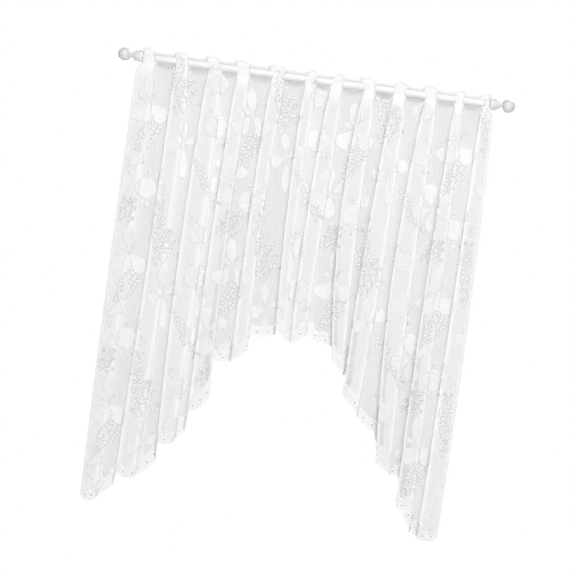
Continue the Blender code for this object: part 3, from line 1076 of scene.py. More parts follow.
@dataclass(frozen=True)
class Cluster:
    """A hanging cluster of small florets, wide at its top and narrow at its tip."""

    length: float = 92.0
    width: float = 36.0
    floret: float = 4.7
    crowding: float = 0.98
    seed: int = 5
    stray: float = 0.9
    most_turn: float = 72.0
    sizes: tuple[float, float] = (0.85, 1.08)
    stem_bends: tuple[tuple[float, float], ...] = ((0.5, 0.0), (0.58, 2.0), (0.68, 7.0))
    stem_widths: tuple[float, float] = (1.8, 1.4)
    leaf: tuple[float, float] = (14.0, 5.5)
    leaf_place: tuple[float, float] = (0.53, 3.0)
    leaf_turns: tuple[float, float] = (30.0, -35.0)

    def draw(self) -> list[Drawn]:
        """The cluster round the origin, with its tip at the far left."""
        row_share, top_share, taper, roundness = 0.87, 0.16, 0.8, 0.7
        chance = random.Random(self.seed)
        form = Floret(self.floret).form()
        pitch = 2 * self.floret * self.crowding
        drawing: list[Drawn] = []
        rows = int(self.length / (pitch * row_share))
        for row in range(rows):
            share = (row + 0.5) / rows
            place = min(top_share + share * (1.0 - top_share), 1.0)
            wide = self.width * math.sin(math.pi * place**taper) ** roundness
            count = max(1, round(wide / pitch))
            for k in range(count):
                x = self.length * (0.5 - share) + chance.uniform(-self.stray, self.stray)
                y = (k - (count - 1) / 2) * pitch + chance.uniform(-self.stray, self.stray)
                turn, size = chance.uniform(0.0, self.most_turn), chance.uniform(*self.sizes)
                drawing.append(Dot(form, Placing((x, y), turn, size)))
        stem = smooth_line([(self.length * share, side) for share, side in self.stem_bends], 5)
        drawing.append(Line(stem, np.linspace(*self.stem_widths, len(stem))))
        along, aside = self.leaf_place
        for turn, side in zip(self.leaf_turns, (1, -1)):
            drawing += moved(Leaf(*self.leaf).draw(), (self.length * along, side * aside), turn)
        return drawing


class Twig(NamedTuple):
    """A side stem of a spray: where it leaves the main stem, its direction, length and bend."""

    along: float
    angle: float
    length: float
    bend: float


class SprayFloret(NamedTuple):
    """A floret beside a twig's end: how far back and to the left, its turn at each twig, its size."""

    back: float
    left: float
    turn: float
    size: float


@dataclass(frozen=True)
class Spray:
    """A spray of curved stems with small flowers and slim leaves."""

    twigs: tuple[Twig, ...] = (
        Twig(0.12, 150.0, 22.0, -6.0),
        Twig(0.28, 25.0, 25.0, 6.0),
        Twig(0.45, 160.0, 24.0, 5.0),
        Twig(0.58, 40.0, 24.0, -6.0),
        Twig(0.74, 140.0, 19.0, 5.0),
        Twig(0.86, 50.0, 16.0, -4.0),
    )
    florets: tuple[SprayFloret, ...] = (
        SprayFloret(9.0, 8.0, 17.0, 1.0),
        SprayFloret(12.0, -7.0, 29.0, 0.9),
    )
    height: float = 74.0
    stem_width: float = 2.0
    stem_tip: float = 1.2
    floret: float = 4.6
    twig_widths: tuple[float, float] = (1.5, 1.1)
    bend_place: float = 0.55
    bloom_turn: float = 31.0
    bloom_size: float = 0.95
    leaf: tuple[float, float] = (13.0, 5.2)
    leaf_turn: float = 55.0

    def draw(self) -> list[Drawn]:
        """The whole spray round the origin, growing upwards."""
        half = self.height / 2
        stem = smooth_line(((-5.0, -half), (4.0, -half * 0.35), (-4.0, half * 0.3), (5.0, half)), 8)
        drawing: list[Drawn] = [Line(stem, np.linspace(self.stem_width, self.stem_tip, len(stem)))]
        bloom, floret = Bloom().form(), Floret(self.floret).form()
        drawing.append(Dot(bloom, Placing(tuple(stem[-1]), 20.0)))
        for k, twig in enumerate(self.twigs):
            start = stem[int(twig.along * (len(stem) - 1))]
            way = np.array(outward(twig.angle, 1.0))
            side = np.array([-way[1], way[0]])
            middle = start + way * twig.length * self.bend_place + side * twig.bend
            end = start + way * twig.length
            path = smooth_line((start, middle, end), 5)
            drawing.append(Line(path, np.linspace(*self.twig_widths, len(path))))
            drawing.append(Dot(bloom, Placing(tuple(end), self.bloom_turn * k, self.bloom_size)))
            for back, left, turn, size in self.florets:
                at = tuple(end - way * back + side * left)
                drawing.append(Dot(floret, Placing(at, turn * k, size)))
            leaf_turn = self.leaf_turn if k % 2 else -self.leaf_turn
            drawing += moved(Leaf(*self.leaf).draw(), middle, twig.angle + leaf_turn)
        return drawing


class MotifKind(Enum):
    """The motifs of the pattern."""

    BUTTERFLY_OPEN = "butterfly with its wings held up"
    BUTTERFLY_LONG = "butterfly with one long wing"
    BUTTERFLY_SIDE = "butterfly seen from the side"
    ROSE = "rose with leaves"
    FULL_ROSE = "large full rose"
    CLUSTER = "long cluster of florets"
    FLORET_ROW = "slim cluster of larger florets"
    SPRAY = "spray of small flowers"


MOTIFS = {
    MotifKind.BUTTERFLY_OPEN: Butterfly(
        (
            Wing(97.0, 56.0, 20.0, 0.6),
            Wing(232.0, 46.0, 38.0, 0.64),
            Wing(-43.0, 49.0, 36.0, 0.66),
            Wing(150.0, 24.0, 10.0, 0.6),
        ),
        62.0,
        feeler_length=27.0,
    ),
    MotifKind.BUTTERFLY_LONG: Butterfly(
        (
            Wing(100.0, 50.0, 18.0, 0.66),
            Wing(28.0, 42.0, 30.0, 0.68),
            Wing(205.0, 33.0, 30.0, 0.6),
            Wing(-84.0, 70.0, 17.0, 0.64),
        ),
        100.0,
    ),
    MotifKind.BUTTERFLY_SIDE: Butterfly(
        (
            Wing(110.0, 49.0, 40.0, 0.66),
            Wing(40.0, 42.0, 26.0, 0.7),
            Wing(203.0, 43.0, 34.0, 0.68),
            Wing(272.0, 48.0, 26.0, 0.64),
        ),
        -55.0,
    ),
    MotifKind.ROSE: Rose(),
    MotifKind.FULL_ROSE: Rose(
        23.0,
        (
            Petals(0.2, 2, 0.16),
            Petals(0.38, 3, 0.18),
            Petals(0.56, 5, 0.18),
            Petals(0.74, 6, 0.19),
            Petals(0.92, 8, 0.2),
        ),
        (
            LeafPlace(75.0, 24.0, 80.0, 15.0, 7.0),
            LeafPlace(115.0, 25.0, 125.0, 14.0, 7.0),
            LeafPlace(-40.0, 26.0, -60.0, 20.0, 9.0),
            LeafPlace(-72.0, 26.0, -80.0, 17.0, 8.0),
        ),
        (-58.0, 40.0),
    ),
    MotifKind.CLUSTER: Cluster(),
    MotifKind.FLORET_ROW: Cluster(length=96.0, width=27.0, floret=5.4, seed=11),
    MotifKind.SPRAY: Spray(),
}
FLORET_KINDS = (MotifKind.CLUSTER, MotifKind.FLORET_ROW, MotifKind.SPRAY)


class Place(NamedTuple):
    """A motif's place in the hung pattern: across and down from the repeat's corner, in millimetres."""

    kind: MotifKind
    across: float
    down: float
    turn: float
    size: float


@dataclass
class Pattern:
    """The repeat of the motifs and how it covers the cloth."""

    first_across: float = -366.0
    repeat_across: float = 211.8
    repeat_down: float = 311.0
    columns: tuple[int, ...] = (-1, 0, 1, 2, 3)
    rows: tuple[int, ...] = (-1, 0, 1, 2)
    highest: float = -25.0
    lowest: float = -925.0
    widest: float = 400.0
    places: tuple[Place, ...] = (
        Place(MotifKind.BUTTERFLY_OPEN, 33.0, 90.0, 0.0, 1.0),
        Place(MotifKind.CLUSTER, 36.0, 164.0, 68.0, 1.0),
        Place(MotifKind.SPRAY, 106.0, 74.0, 4.0, 1.0),
        Place(MotifKind.BUTTERFLY_LONG, 114.0, 166.0, 0.0, 1.0),
        Place(MotifKind.FULL_ROSE, 175.0, 122.0, 0.0, 1.0),
        Place(MotifKind.FLORET_ROW, 166.0, 232.0, -56.0, 1.0),
        Place(MotifKind.ROSE, 50.0, 266.0, 0.0, 1.0),
        Place(MotifKind.BUTTERFLY_SIDE, 215.0, 228.0, 0.0, 1.0),
        Place(MotifKind.SPRAY, 228.0, 318.0, -20.0, 0.8),
        Place(MotifKind.FLORET_ROW, 85.0, 346.0, 92.0, 0.95),
        Place(MotifKind.FULL_ROSE, 168.0, 345.0, 175.0, 0.85),
    )

    def plates(self, cloth: HungCloth) -> dict[MotifKind, Plate]:
        """The motifs on the flat cloth, joined by kind.

        Args:
            cloth: The hung cloth, which says where on it a place that shows is.

        Returns:
            One plate of every copy, for each kind of motif.
        """
        drawn = {kind: motif.draw() for kind, motif in MOTIFS.items()}
        found: dict[MotifKind, list[Plate]] = {kind: [] for kind in MOTIFS}
        for row in self.rows:
            for column in self.columns:
                for place in self.places:
                    x = self.first_across + column * self.repeat_across + place.across
                    height = -(place.down + row * self.repeat_down)
                    if self.lowest <= height <= self.highest and abs(x) <= self.widest:
                        copy = moved(drawn[place.kind], (x, height), place.turn, place.size)
                        found[place.kind] += [item.plate(cloth.front_chart) for item in copy]
        return {kind: Plate.joined(plates) for kind, plates in found.items() if plates}


@dataclass
class Sewing:
    """Turns flat plates into thin closed meshes on the hung cloth."""

    cloth: HungCloth
    back_share: float = 0.6
    back_least: float = 0.12
    sharp_angle: float = 55.0

    def mesh(self, name: str, plate: Plate, chart: Chart | None = None) -> bpy.types.Object:
        """Builds one object from a plate.

        Args:
            name: The object's name.
            plate: The plate, drawn flat.
            chart: Carries the plate's points to the flat cloth, where they aren't there already.

        Returns:
            The object.
        """
        flat = plate.points if chart is None else chart(plate.points)
        hung = self.cloth.hang(flat)
        facing = self.cloth.facing(flat)
        front = hung + facing * plate.rise[:, None]
        back = hung - facing * (plate.rise * self.back_share + self.back_least)[:, None]
        count = len(hung)
        ways = np.concatenate([plate.faces[:, corners] for corners in ([0, 1], [1, 2], [2, 0])])
        _, first, times = np.unique(np.sort(ways, axis=1), axis=0, return_index=True, return_counts=True)
        rim = ways[first[times == 1]]
        walls = np.stack([rim[:, 1], rim[:, 0], rim[:, 0] + count, rim[:, 1] + count], axis=1)
        sides = np.concatenate([walls[:, [0, 1, 2]], walls[:, [0, 2, 3]]])
        faces = np.concatenate([plate.faces, plate.faces[:, ::-1] + count, sides])
        points = np.concatenate([front, back]) * MM
        maps = {"stitch": np.tile(plate.stitch, (2, 1)) * MM}
        # The rise also sets the stitching's colour: painted shade where low, painted highlight where
        # raised.
        values = {"raised": np.tile(plate.rise, 2)}
        piece = cloth_object(name, points, faces, maps, values, self.sharp_angle)
        turn = self.cloth.light_turn(facing)
        turn_normals(piece.data, np.concatenate([turn, -turn]))
        return piece

    def trimmed(self, plate: Plate, margin: float) -> Plate:
        """The part of a plate that is on the cloth, at least a margin above the hem."""
        on = self.cloth.covers(plate.points, margin) & (plate.points[:, 1] < self.cloth.top_valley)
        faces = plate.faces[on[plate.faces].all(axis=1)]
        used, index = np.unique(faces, return_inverse=True)
        return Plate(plate.points[used], index.reshape(-1, 3), plate.rise[used], plate.stitch[used])


def cloth_object(
    name: str,
    points: Array,
    faces: Array,
    maps: dict[str, Array],
    values: dict[str, Array],
    sharp_angle: float | None = None,
) -> bpy.types.Object:
    """Makes a mesh object from arrays.

    Args:
        name: The object's name.
        points: Rows of x, y and z, in metres.
        faces: Rows of corners.
        maps: For each UV map, the two coordinates of each point.
        values: For each attribute, the value of each point.
        sharp_angle: The angle in degrees past which edges are sharp, or None for all smooth.

    Returns:
        The object, at the origin.
    """
    mesh = bpy.data.meshes.new(name)
    mesh.from_pydata(points.tolist(), [], faces.tolist())
    corners = loop_corners(mesh)
    for map_name, places in maps.items():
        layer = mesh.uv_layers.new(name=map_name)
        layer.data.foreach_set("uv", places[corners].astype(np.float32).ravel())
    for value_name, numbers in values.items():
        attribute = mesh.attributes.new(value_name, "FLOAT", "POINT")
        attribute.data.foreach_set("value", numbers.astype(np.float32))
    mesh.shade_smooth()
    if sharp_angle is not None:
        mesh.set_sharp_from_angle(angle=math.radians(sharp_angle))
    item = bpy.data.objects.new(name, mesh)
    bpy.context.scene.collection.objects.link(item)
    return item


def loop_corners(mesh: bpy.types.Mesh) -> Array:
    """The point that each corner of a mesh's faces is at."""
    corners = np.zeros(len(mesh.loops), int)
    mesh.loops.foreach_get("vertex_index", corners)
    return corners


def turn_normals(mesh: bpy.types.Mesh, turn: Array) -> None:
    """Adds something to each point's normals, which keeps the mesh as it is."""
    normals = np.zeros(len(mesh.loops) * 3, np.float32)
    mesh.corner_normals.foreach_get("vector", normals)
    turned = unit(normals.reshape(-1, 3) + turn[loop_corners(mesh)])
    mesh.normals_split_custom_set(turned.tolist())


Signal = bpy.types.NodeSocket | float | tuple


class Tree:
    """Adds nodes to a node tree and links them."""

    def __init__(self, tree: bpy.types.NodeTree) -> None:
        """Keeps the tree."""
        self.tree = tree

    def add(self, kind: str, inputs: dict | None = None, **settings: object) -> bpy.types.Node:
        """Adds one node.

        Args:
            kind: The node's type.
            inputs: A socket or a value for each input, by name or number.
            settings: The node's own properties.

        Returns:
            The node.
        """
        node = self.tree.nodes.new(kind)
        for name, value in settings.items():
            setattr(node, name, value)
        self.feed(node, inputs or {})
        return node

    def feed(self, node: bpy.types.Node, inputs: dict) -> None:
        """Links sockets to a node's inputs or sets their values, by name or number."""
        for key, value in inputs.items():
            if isinstance(value, bpy.types.NodeSocket):
                self.tree.links.new(value, node.inputs[key])
            else:
                node.inputs[key].default_value = value

    def maths(self, operation: str, *values: Signal) -> bpy.types.NodeSocket:
        """A sum, product or other operation on numbers."""
        return self.add("ShaderNodeMath", dict(enumerate(values)), operation=operation).outputs[0]

    def spread(
        self, value: Signal, low: float, high: float, to_low: float, to_high: float
    ) -> bpy.types.NodeSocket:
        """A value carried softly from one range to another."""
        inputs = {"Value": value, "From Min": low, "From Max": high, "To Min": to_low, "To Max": to_high}
        return self.add("ShaderNodeMapRange", inputs, interpolation_type="SMOOTHSTEP").outputs[0]

    def mix(self, share: Signal, first: Signal, second: Signal) -> bpy.types.NodeSocket:
        """A colour between two colours."""
        node = self.add("ShaderNodeMix", {0: share, 6: first, 7: second}, data_type="RGBA")
        return node.outputs[2]

    def noise(self, place: Signal, scale: Signal, detail: float = 2.0) -> bpy.types.NodeSocket:
        """A soft random pattern."""
        inputs = {"Vector": place, "Scale": scale, "Detail": detail}
        return self.add("ShaderNodeTexNoise", inputs).outputs[0]

    def bump(self, strength: float, distance: float, height: Signal) -> bpy.types.NodeSocket:
        """A surface normal turned by a height."""
        inputs = {"Strength": strength, "Distance": distance, "Height": height}
        return self.add("ShaderNodeBump", inputs).outputs[0]


class Group(Tree):
    """A shader node group that takes a vector and numbers and gives numbers."""

    def __init__(self, name: str, numbers: Sequence[str], outputs: Sequence[str]) -> None:
        """Starts the group.

        Args:
            name: The group's name.
            numbers: The names of its inputs beside the vector.
            outputs: The names of its outputs.
        """
        super().__init__(bpy.data.node_groups.new(name, "ShaderNodeTree"))
        sockets = self.tree.interface
        sockets.new_socket("Vector", in_out="INPUT", socket_type="NodeSocketVector")
        for side, labels in (("INPUT", numbers), ("OUTPUT", outputs)):
            for label in labels:
                sockets.new_socket(label, in_out=side, socket_type="NodeSocketFloat")
        self.given = {socket.name: socket for socket in self.add("NodeGroupInput").outputs}
        self.out = self.add("NodeGroupOutput")


def net_group() -> bpy.types.NodeTree:
    """A fine knitted net: columns of loops joined by slanting threads, with faint streaks down it."""
    slope, streak_scale = 0.6, (260.0, 3.0, 1.0)
    group = Group("knitted_net", ("Pitch",), ("Threads", "Streaks"))
    place, pitch = group.given["Vector"], group.given["Pitch"]
    apart = group.add("ShaderNodeSeparateXYZ", {0: place})
    across, up = apart.outputs[0], apart.outputs[1]
    half = group.maths("MULTIPLY", pitch, 0.5)
    column = group.maths("DIVIDE", group.maths("PINGPONG", across, half), half)
    slanted = group.maths("MULTIPLY", group.maths("PINGPONG", across, pitch), slope)
    zigzag = group.maths("ADD", up, slanted)
    rung = group.maths("DIVIDE", group.maths("PINGPONG", zigzag, half), half)
    columns = group.spread(column, low=0.28, high=0.62, to_low=1.0, to_high=0.0)
    rungs = group.spread(rung, low=0.2, high=0.5, to_low=0.85, to_high=0.0)
    stretched = group.add("ShaderNodeMapping", {"Vector": place, "Scale": streak_scale})
    streaks = group.noise(stretched.outputs[0], 1.0)
    group.feed(group.out, {"Threads": group.maths("MAXIMUM", columns, rungs), "Streaks": streaks})
    return group.tree


def satin_group() -> bpy.types.NodeTree:
    """Close rows of stitching thread, a little uneven."""
    unevenness, wander_scale, cloud_scale = 0.0007, 420.0, 90.0
    group = Group("satin_stitch", ("Pitch", "Slant"), ("Threads", "Clouds"))
    place = group.given["Vector"]
    apart = group.add("ShaderNodeSeparateXYZ", {0: place})
    wander = group.maths("MULTIPLY", group.noise(place, wander_scale), unevenness)
    slanted = group.maths("MULTIPLY", apart.outputs[1], group.given["Slant"])
    along = group.maths("ADD", group.maths("ADD", apart.outputs[0], slanted), wander)
    half = group.maths("MULTIPLY", group.given["Pitch"], 0.5)
    thread = group.maths("DIVIDE", group.maths("PINGPONG", along, half), half)
    threads = group.spread(thread, low=0.0, high=1.0, to_low=1.0, to_high=0.0)
    clouds = group.noise(place, cloud_scale, detail=3.0)
    group.feed(group.out, {"Threads": threads, "Clouds": clouds})
    return group.tree


def paint_group() -> bpy.types.NodeTree:
    """The fine unevenness of sprayed paint, and soft rubbed places."""
    grain_scale, patch_scale = 900.0, 35.0
    group = Group("sprayed_paint", (), ("Grain", "Rubbed"))
    place = group.given["Vector"]
    patches = group.noise(place, patch_scale, detail=5.0)
    rubbed = group.spread(patches, low=0.35, high=0.75, to_low=0.0, to_high=1.0)
    group.feed(group.out, {"Grain": group.noise(place, grain_scale), "Rubbed": rubbed})
    return group.tree


@dataclass
class Workshop:
    """The shader groups that more than one finish uses."""

    net: bpy.types.NodeTree = field(default_factory=net_group)
    satin: bpy.types.NodeTree = field(default_factory=satin_group)
    paint: bpy.types.NodeTree = field(default_factory=paint_group)


Colour = tuple[float, float, float, float]


def grey(red: float, green: float, blue: float | None = None) -> Colour:
    """A nearly grey colour, as much blue as red where blue isn't given."""
    return red, green, red if blue is None else blue, 1.0


def started_material(name: str, roughness: float) -> tuple[bpy.types.Material, Tree, bpy.types.Node]:
    """A new material, a helper that adds to it, and its Principled BSDF."""
    material = bpy.data.materials.new(name)
    material.use_nodes = True
    shader = material.node_tree.nodes["Principled BSDF"]
    tree = Tree(material.node_tree)
    tree.feed(shader, {"Roughness": roughness})
    return material, tree, shader


@dataclass(frozen=True)
class NetFinish:
    """Sheer white net: see-through between its threads, denser where it is turned or doubled, with a
    painted highlight along its fold edges and turns.
    """

    name: str = "sheer net"
    # The thin net is the same white yarn painted grey, as painted shade between its threads; where close it
    # turns to the yarn's own white.
    thin: Colour = grey(0.595, 0.615, 0.60)
    dense: Colour = grey(0.885, 0.89)
    gap_cover: float = 0.54
    thread_cover: float = 0.82
    pitch: float = 0.0013
    roughness: float = 0.9
    shine: float = 0.2

    def material(self, workshop: Workshop) -> bpy.types.Material:
        """Builds the material.

        Args:
            workshop: The shared groups.

        Returns:
            The material.
        """
        streakiness, blend = 0.05, 0.5
        material, tree, shader = started_material(self.name, self.roughness)
        flat = tree.add("ShaderNodeUVMap", uv_map="flat").outputs[0]
        net = tree.add("ShaderNodeGroup", {"Vector": flat, "Pitch": self.pitch}, node_tree=workshop.net)
        density = tree.add("ShaderNodeAttribute", attribute_name="closeness_and_painted_highlight").outputs["Fac"]
        cover = tree.spread(net.outputs["Threads"], 0.0, 1.0, self.gap_cover, self.thread_cover)
        streaks = tree.spread(net.outputs["Streaks"], 0.3, 0.7, -streakiness, streakiness)
        open_share = tree.maths("SUBTRACT", 1.0, tree.maths("ADD", cover, streaks))
        kept_open = tree.maths("SUBTRACT", 1.0, density)
        alpha = tree.maths("SUBTRACT", 1.0, tree.maths("MULTIPLY", open_share, kept_open))
        # The closeness also whitens the colour: a painted highlight along the fold edges and turns.
        looks = {
            "Base Color": tree.mix(tree.maths("POWER", density, blend), self.thin, self.dense),
            "Alpha": alpha,
            "Normal": tree.bump(strength=0.25, distance=0.0002, height=net.outputs["Threads"]),
            "Specular IOR Level": self.shine,
        }
        tree.feed(shader, looks)
        return material


@dataclass(frozen=True)
class ThreadFinish:
    """Close white stitching, with its own stitch width, slant and cover, painted darker as shade at its low
    edges and lighter as highlight where it is raised.
    """

    name: str
    shade: Colour = grey(0.70, 0.71)
    light: Colour = grey(0.855, 0.855, 0.85)
    pitch: float = 0.0007
    slant: float = 0.25
    cover: float = 0.96
    bump: float = 0.35
    roughness: float = 0.62
    sheen: float = 0.15
    shine: float = 0.3
    low: float = 0.1
    high: float = 0.6

    def material(self, workshop: Workshop) -> bpy.types.Material:
        """Builds the material.

        Args:
            workshop: The shared groups.

        Returns:
            The material.
        """
        cloudiness, thread_share, raised_share = 0.15, 0.3, 0.85
        material, tree, shader = started_material(self.name, self.roughness)
        stitch = tree.add("ShaderNodeUVMap", uv_map="stitch").outputs[0]
        given = {"Vector": stitch, "Pitch": self.pitch, "Slant": self.slant}
        satin = tree.add("ShaderNodeGroup", given, node_tree=workshop.satin)
        clouds = tree.spread(satin.outputs["Clouds"], 0.3, 0.7, -cloudiness, cloudiness)
        threads = tree.maths("MULTIPLY_ADD", satin.outputs["Threads"], thread_share, clouds)
        raised = tree.add("ShaderNodeAttribute", attribute_name="raised").outputs["Fac"]
        # Painted shade and highlight: the lower the stitching, the nearer its colour to shade; the more
        # raised, the nearer to light.
        share = tree.maths("ADD", tree.spread(raised, self.low, self.high, 0.0, raised_share), threads)
        looks = {
            "Base Color": tree.mix(share, self.shade, self.light),
            "Normal": tree.bump(self.bump, distance=0.0003, height=satin.outputs["Threads"]),
            "Alpha": self.cover,
            "Sheen Weight": self.sheen,
            "Specular IOR Level": self.shine,
        }
        tree.feed(shader, looks)
        return material


@dataclass(frozen=True)
class PaintFinish:
    """Smooth sprayed paint on metal."""

    name: str
    colour: Colour
    rubbed: Colour
    roughness: float
    coat: float
    coat_roughness: float = 0.15
    rubbed_roughness: float = 0.1

    def material(self, workshop: Workshop) -> bpy.types.Material:
        """Builds the material.

        Args:
            workshop: The shared groups.

        Returns:
            The material.
        """
        material, tree, shader = started_material(self.name, self.roughness)
        place = tree.add("ShaderNodeTexCoord").outputs["Object"]
        paint = tree.add("ShaderNodeGroup", {"Vector": place}, node_tree=workshop.paint)
        rubbed, roughest = paint.outputs["Rubbed"], self.roughness + self.rubbed_roughness
        looks = {
            "Base Color": tree.mix(rubbed, self.colour, self.rubbed),
            "Roughness": tree.spread(rubbed, 0.0, 1.0, self.roughness, roughest),
            "Normal": tree.bump(strength=0.12, distance=0.0002, height=paint.outputs["Grain"]),
            "Coat Weight": self.coat,
            "Coat Roughness": self.coat_roughness,
        }
        tree.feed(shader, looks)
        return material


class Finish(Enum):
    """The finishes of the curtain and its rod."""

    NET = NetFinish()
    # Each thread finish paints shade at its stitching's low edges and a highlight on its raised parts.
    EMBROIDERY = ThreadFinish("satin embroidery")
    # The florets carry the darkest painted shade, round their edges and in their low middles, against a
    # bright painted highlight on their petals.
    FLORETS = ThreadFinish(
        "raised floret stitching", grey(0.50, 0.51), grey(0.91, 0.91, 0.90), low=0.12, high=0.72
    )
    BORDER = ThreadFinish(
        "close border stitching",
        grey(0.78, 0.79),
        grey(0.87, 0.875),
        pitch=0.0011,
        slant=0.1,
        cover=0.95,
        high=0.5,
    )
    HEM = ThreadFinish(
        "turned hem",
        grey(0.80, 0.81),
        grey(0.90, 0.905),
        pitch=0.0013,
        slant=0.0,
        cover=0.85,
        high=0.55,
    )
    CORD = ThreadFinish(
        "twisted edge cord",
        grey(0.74, 0.74, 0.73),
        grey(0.97, 0.97, 0.96),
        pitch=0.0014,
        slant=0.9,
        cover=1.0,
        low=0.2,
        high=1.0,
    )
    # Painted shade: a darker round in each eyelet in place of the shadow in its hole.
    EYELET_SHADE = ThreadFinish(
        "painted shade in the eyelets", grey(0.62, 0.63), grey(0.72, 0.73), pitch=0.0008, slant=0.0, cover=0.8
    )
    ROD = PaintFinish(
        "white rod paint", grey(0.82, 0.825), grey(0.79, 0.795), roughness=0.44, coat=0.1
    )
    CAP = PaintFinish(
        "pale cap paint", grey(0.80, 0.80), grey(0.73, 0.73, 0.74), roughness=0.34, coat=0.2
    )
    BALL = PaintFinish(
        "silver-grey ball paint",
        grey(0.72, 0.72, 0.725),
        grey(0.66, 0.66, 0.665),
        roughness=0.36,
        coat=0.2,
    )


@dataclass
class Wardrobe:
    """Builds each finish once and puts it on pieces."""

    workshop: Workshop = field(default_factory=Workshop)
    made: dict[Finish, bpy.types.Material] = field(default_factory=dict)

    def dress(self, piece: bpy.types.Object, finish: Finish) -> None:
        """Gives a piece its finish and its body.

        Args:
            piece: The piece.
            finish: Its finish.
        """
        if finish not in self.made:
            self.made[finish] = finish.value.material(self.workshop)
        piece.data.materials.clear()
        piece.data.materials.append(self.made[finish])
        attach(piece, BODY)
        LOG.info("%s: %d faces, %s", piece.name, len(piece.data.polygons), finish.value.name)


@dataclass
class Net:
    """The sheer net of the whole curtain, one thin surface."""

    cloth: HungCloth
    hem_inset: float = 3.0
    rows_above: tuple[float, ...] = (0.35, 0.7)
    rows_at_slits: tuple[float, ...] = (SLIT_TOP, 6.5, 3.5, 0.0, -3.5, -6.5, -9.5, SLIT_BOTTOM)
    rows_under_slits: tuple[float, ...] = (-16.0, -20.0, -25.0, -31.0, -39.0)
    rows_below: int = 120
    strip_density: float = 0.16
    valley_density: float = 0.02
    edge_density_and_highlight: float = 0.75
    turn_density_and_highlight: float = 0.25
    heading_density: float = 0.8

    def heights(self) -> Array:
        """The rows of the net: each column's heights, from the top edge to just inside the hem."""
        top = self.cloth.top_edge()
        hem = self.cloth.hem_edge() + self.hem_inset
        rows = [top] + [top + share * (SLIT_TOP - top) for share in self.rows_above]
        rows += [np.full(len(top), height) for height in self.rows_at_slits + self.rows_under_slits]
        shares = np.linspace(0.0, 1.0, self.rows_below)
        rows += [FOLDS_START + share * (hem - FOLDS_START) for share in shares]
        return np.array(rows)

    @staticmethod
    def nearness(fold: Fold, across: float) -> float:
        """How near a column of the cloth is to a strip's edge, from 0 to 1."""
        on_strip, in_turn = 6, 0.8
        if fold is Fold.VALLEY:
            return 0.0
        if fold is Fold.STRIP:
            return abs(2 * across - 1) ** on_strip
        return (1 - across if fold is Fold.WALL_IN else across) ** in_turn

    def density(self, facing: Array, heights: Array) -> Array:
        """How dense the net is at each point, and so how white: gathered cloth at the heading is denser,
        and the whiter colour along the strips' edges and where the folds turn is a painted highlight.
        """
        above_share, densest = 0.8, 0.98
        strip = np.array([fold is Fold.STRIP for fold, _ in self.cloth.folds])[None]
        edge = np.array([self.nearness(fold, across) for fold, across in self.cloth.folds])[None]
        below = 1.0 - smooth_step(low=-60.0, high=-20.0, value=heights)
        own = np.where(strip, self.strip_density, self.valley_density)
        # Painted highlight: whiter and denser where the cloth turns away from the front and near the
        # strips' edges.
        turned = self.turn_density_and_highlight * (1.0 + facing[:, 1]).reshape(heights.shape) * below
        dense = turned + own + self.edge_density_and_highlight * edge * below
        gathered = smooth_step(low=-55.0, high=-16.0, value=heights) * np.where(strip, 1.0, 0.0)
        above_rod = smooth_step(low=2.0, high=10.0, value=heights) * np.where(strip, 0.0, above_share)
        heading = self.heading_density * np.maximum(gathered, above_rod)
        return np.clip(np.maximum(dense, heading), 0.0, densest)

    def build(self) -> bpy.types.Object:
        """Builds the net with its slits, its flat map and its closeness, which also carries its painted
        highlight.
        """
        heights = self.heights()
        points, shares = self.cloth.at_columns(heights)
        rows, columns = heights.shape
        flat = np.stack([shares * self.cloth.flat_width, heights], axis=-1).reshape(-1, 2)
        slack = 0.01
        faces = []
        for r in range(rows - 1):
            for c in range(columns - 1):
                wall = self.cloth.folds[c][0] in (Fold.WALL_IN, Fold.WALL_OUT)
                in_slit = heights[r, c] <= SLIT_TOP + slack and heights[r + 1, c] >= SLIT_BOTTOM - slack
                if not (wall and in_slit):
                    corner = r * columns + c
                    faces.append((corner, corner + columns, corner + columns + 1, corner + 1))
        faces = np.array(faces)
        facing = self.cloth.facing(flat)
        dense = self.density(facing, heights).reshape(-1)
        used, index = np.unique(faces, return_inverse=True)
        place = points.reshape(-1, 3)[used] * MM
        maps, values = {"flat": flat[used] * MM}, {"closeness_and_painted_highlight": dense[used]}
        net = cloth_object("lace_net", place, index.reshape(-1, 4), maps, values)
        turn_normals(net.data, self.cloth.light_turn(facing)[used])
        return net


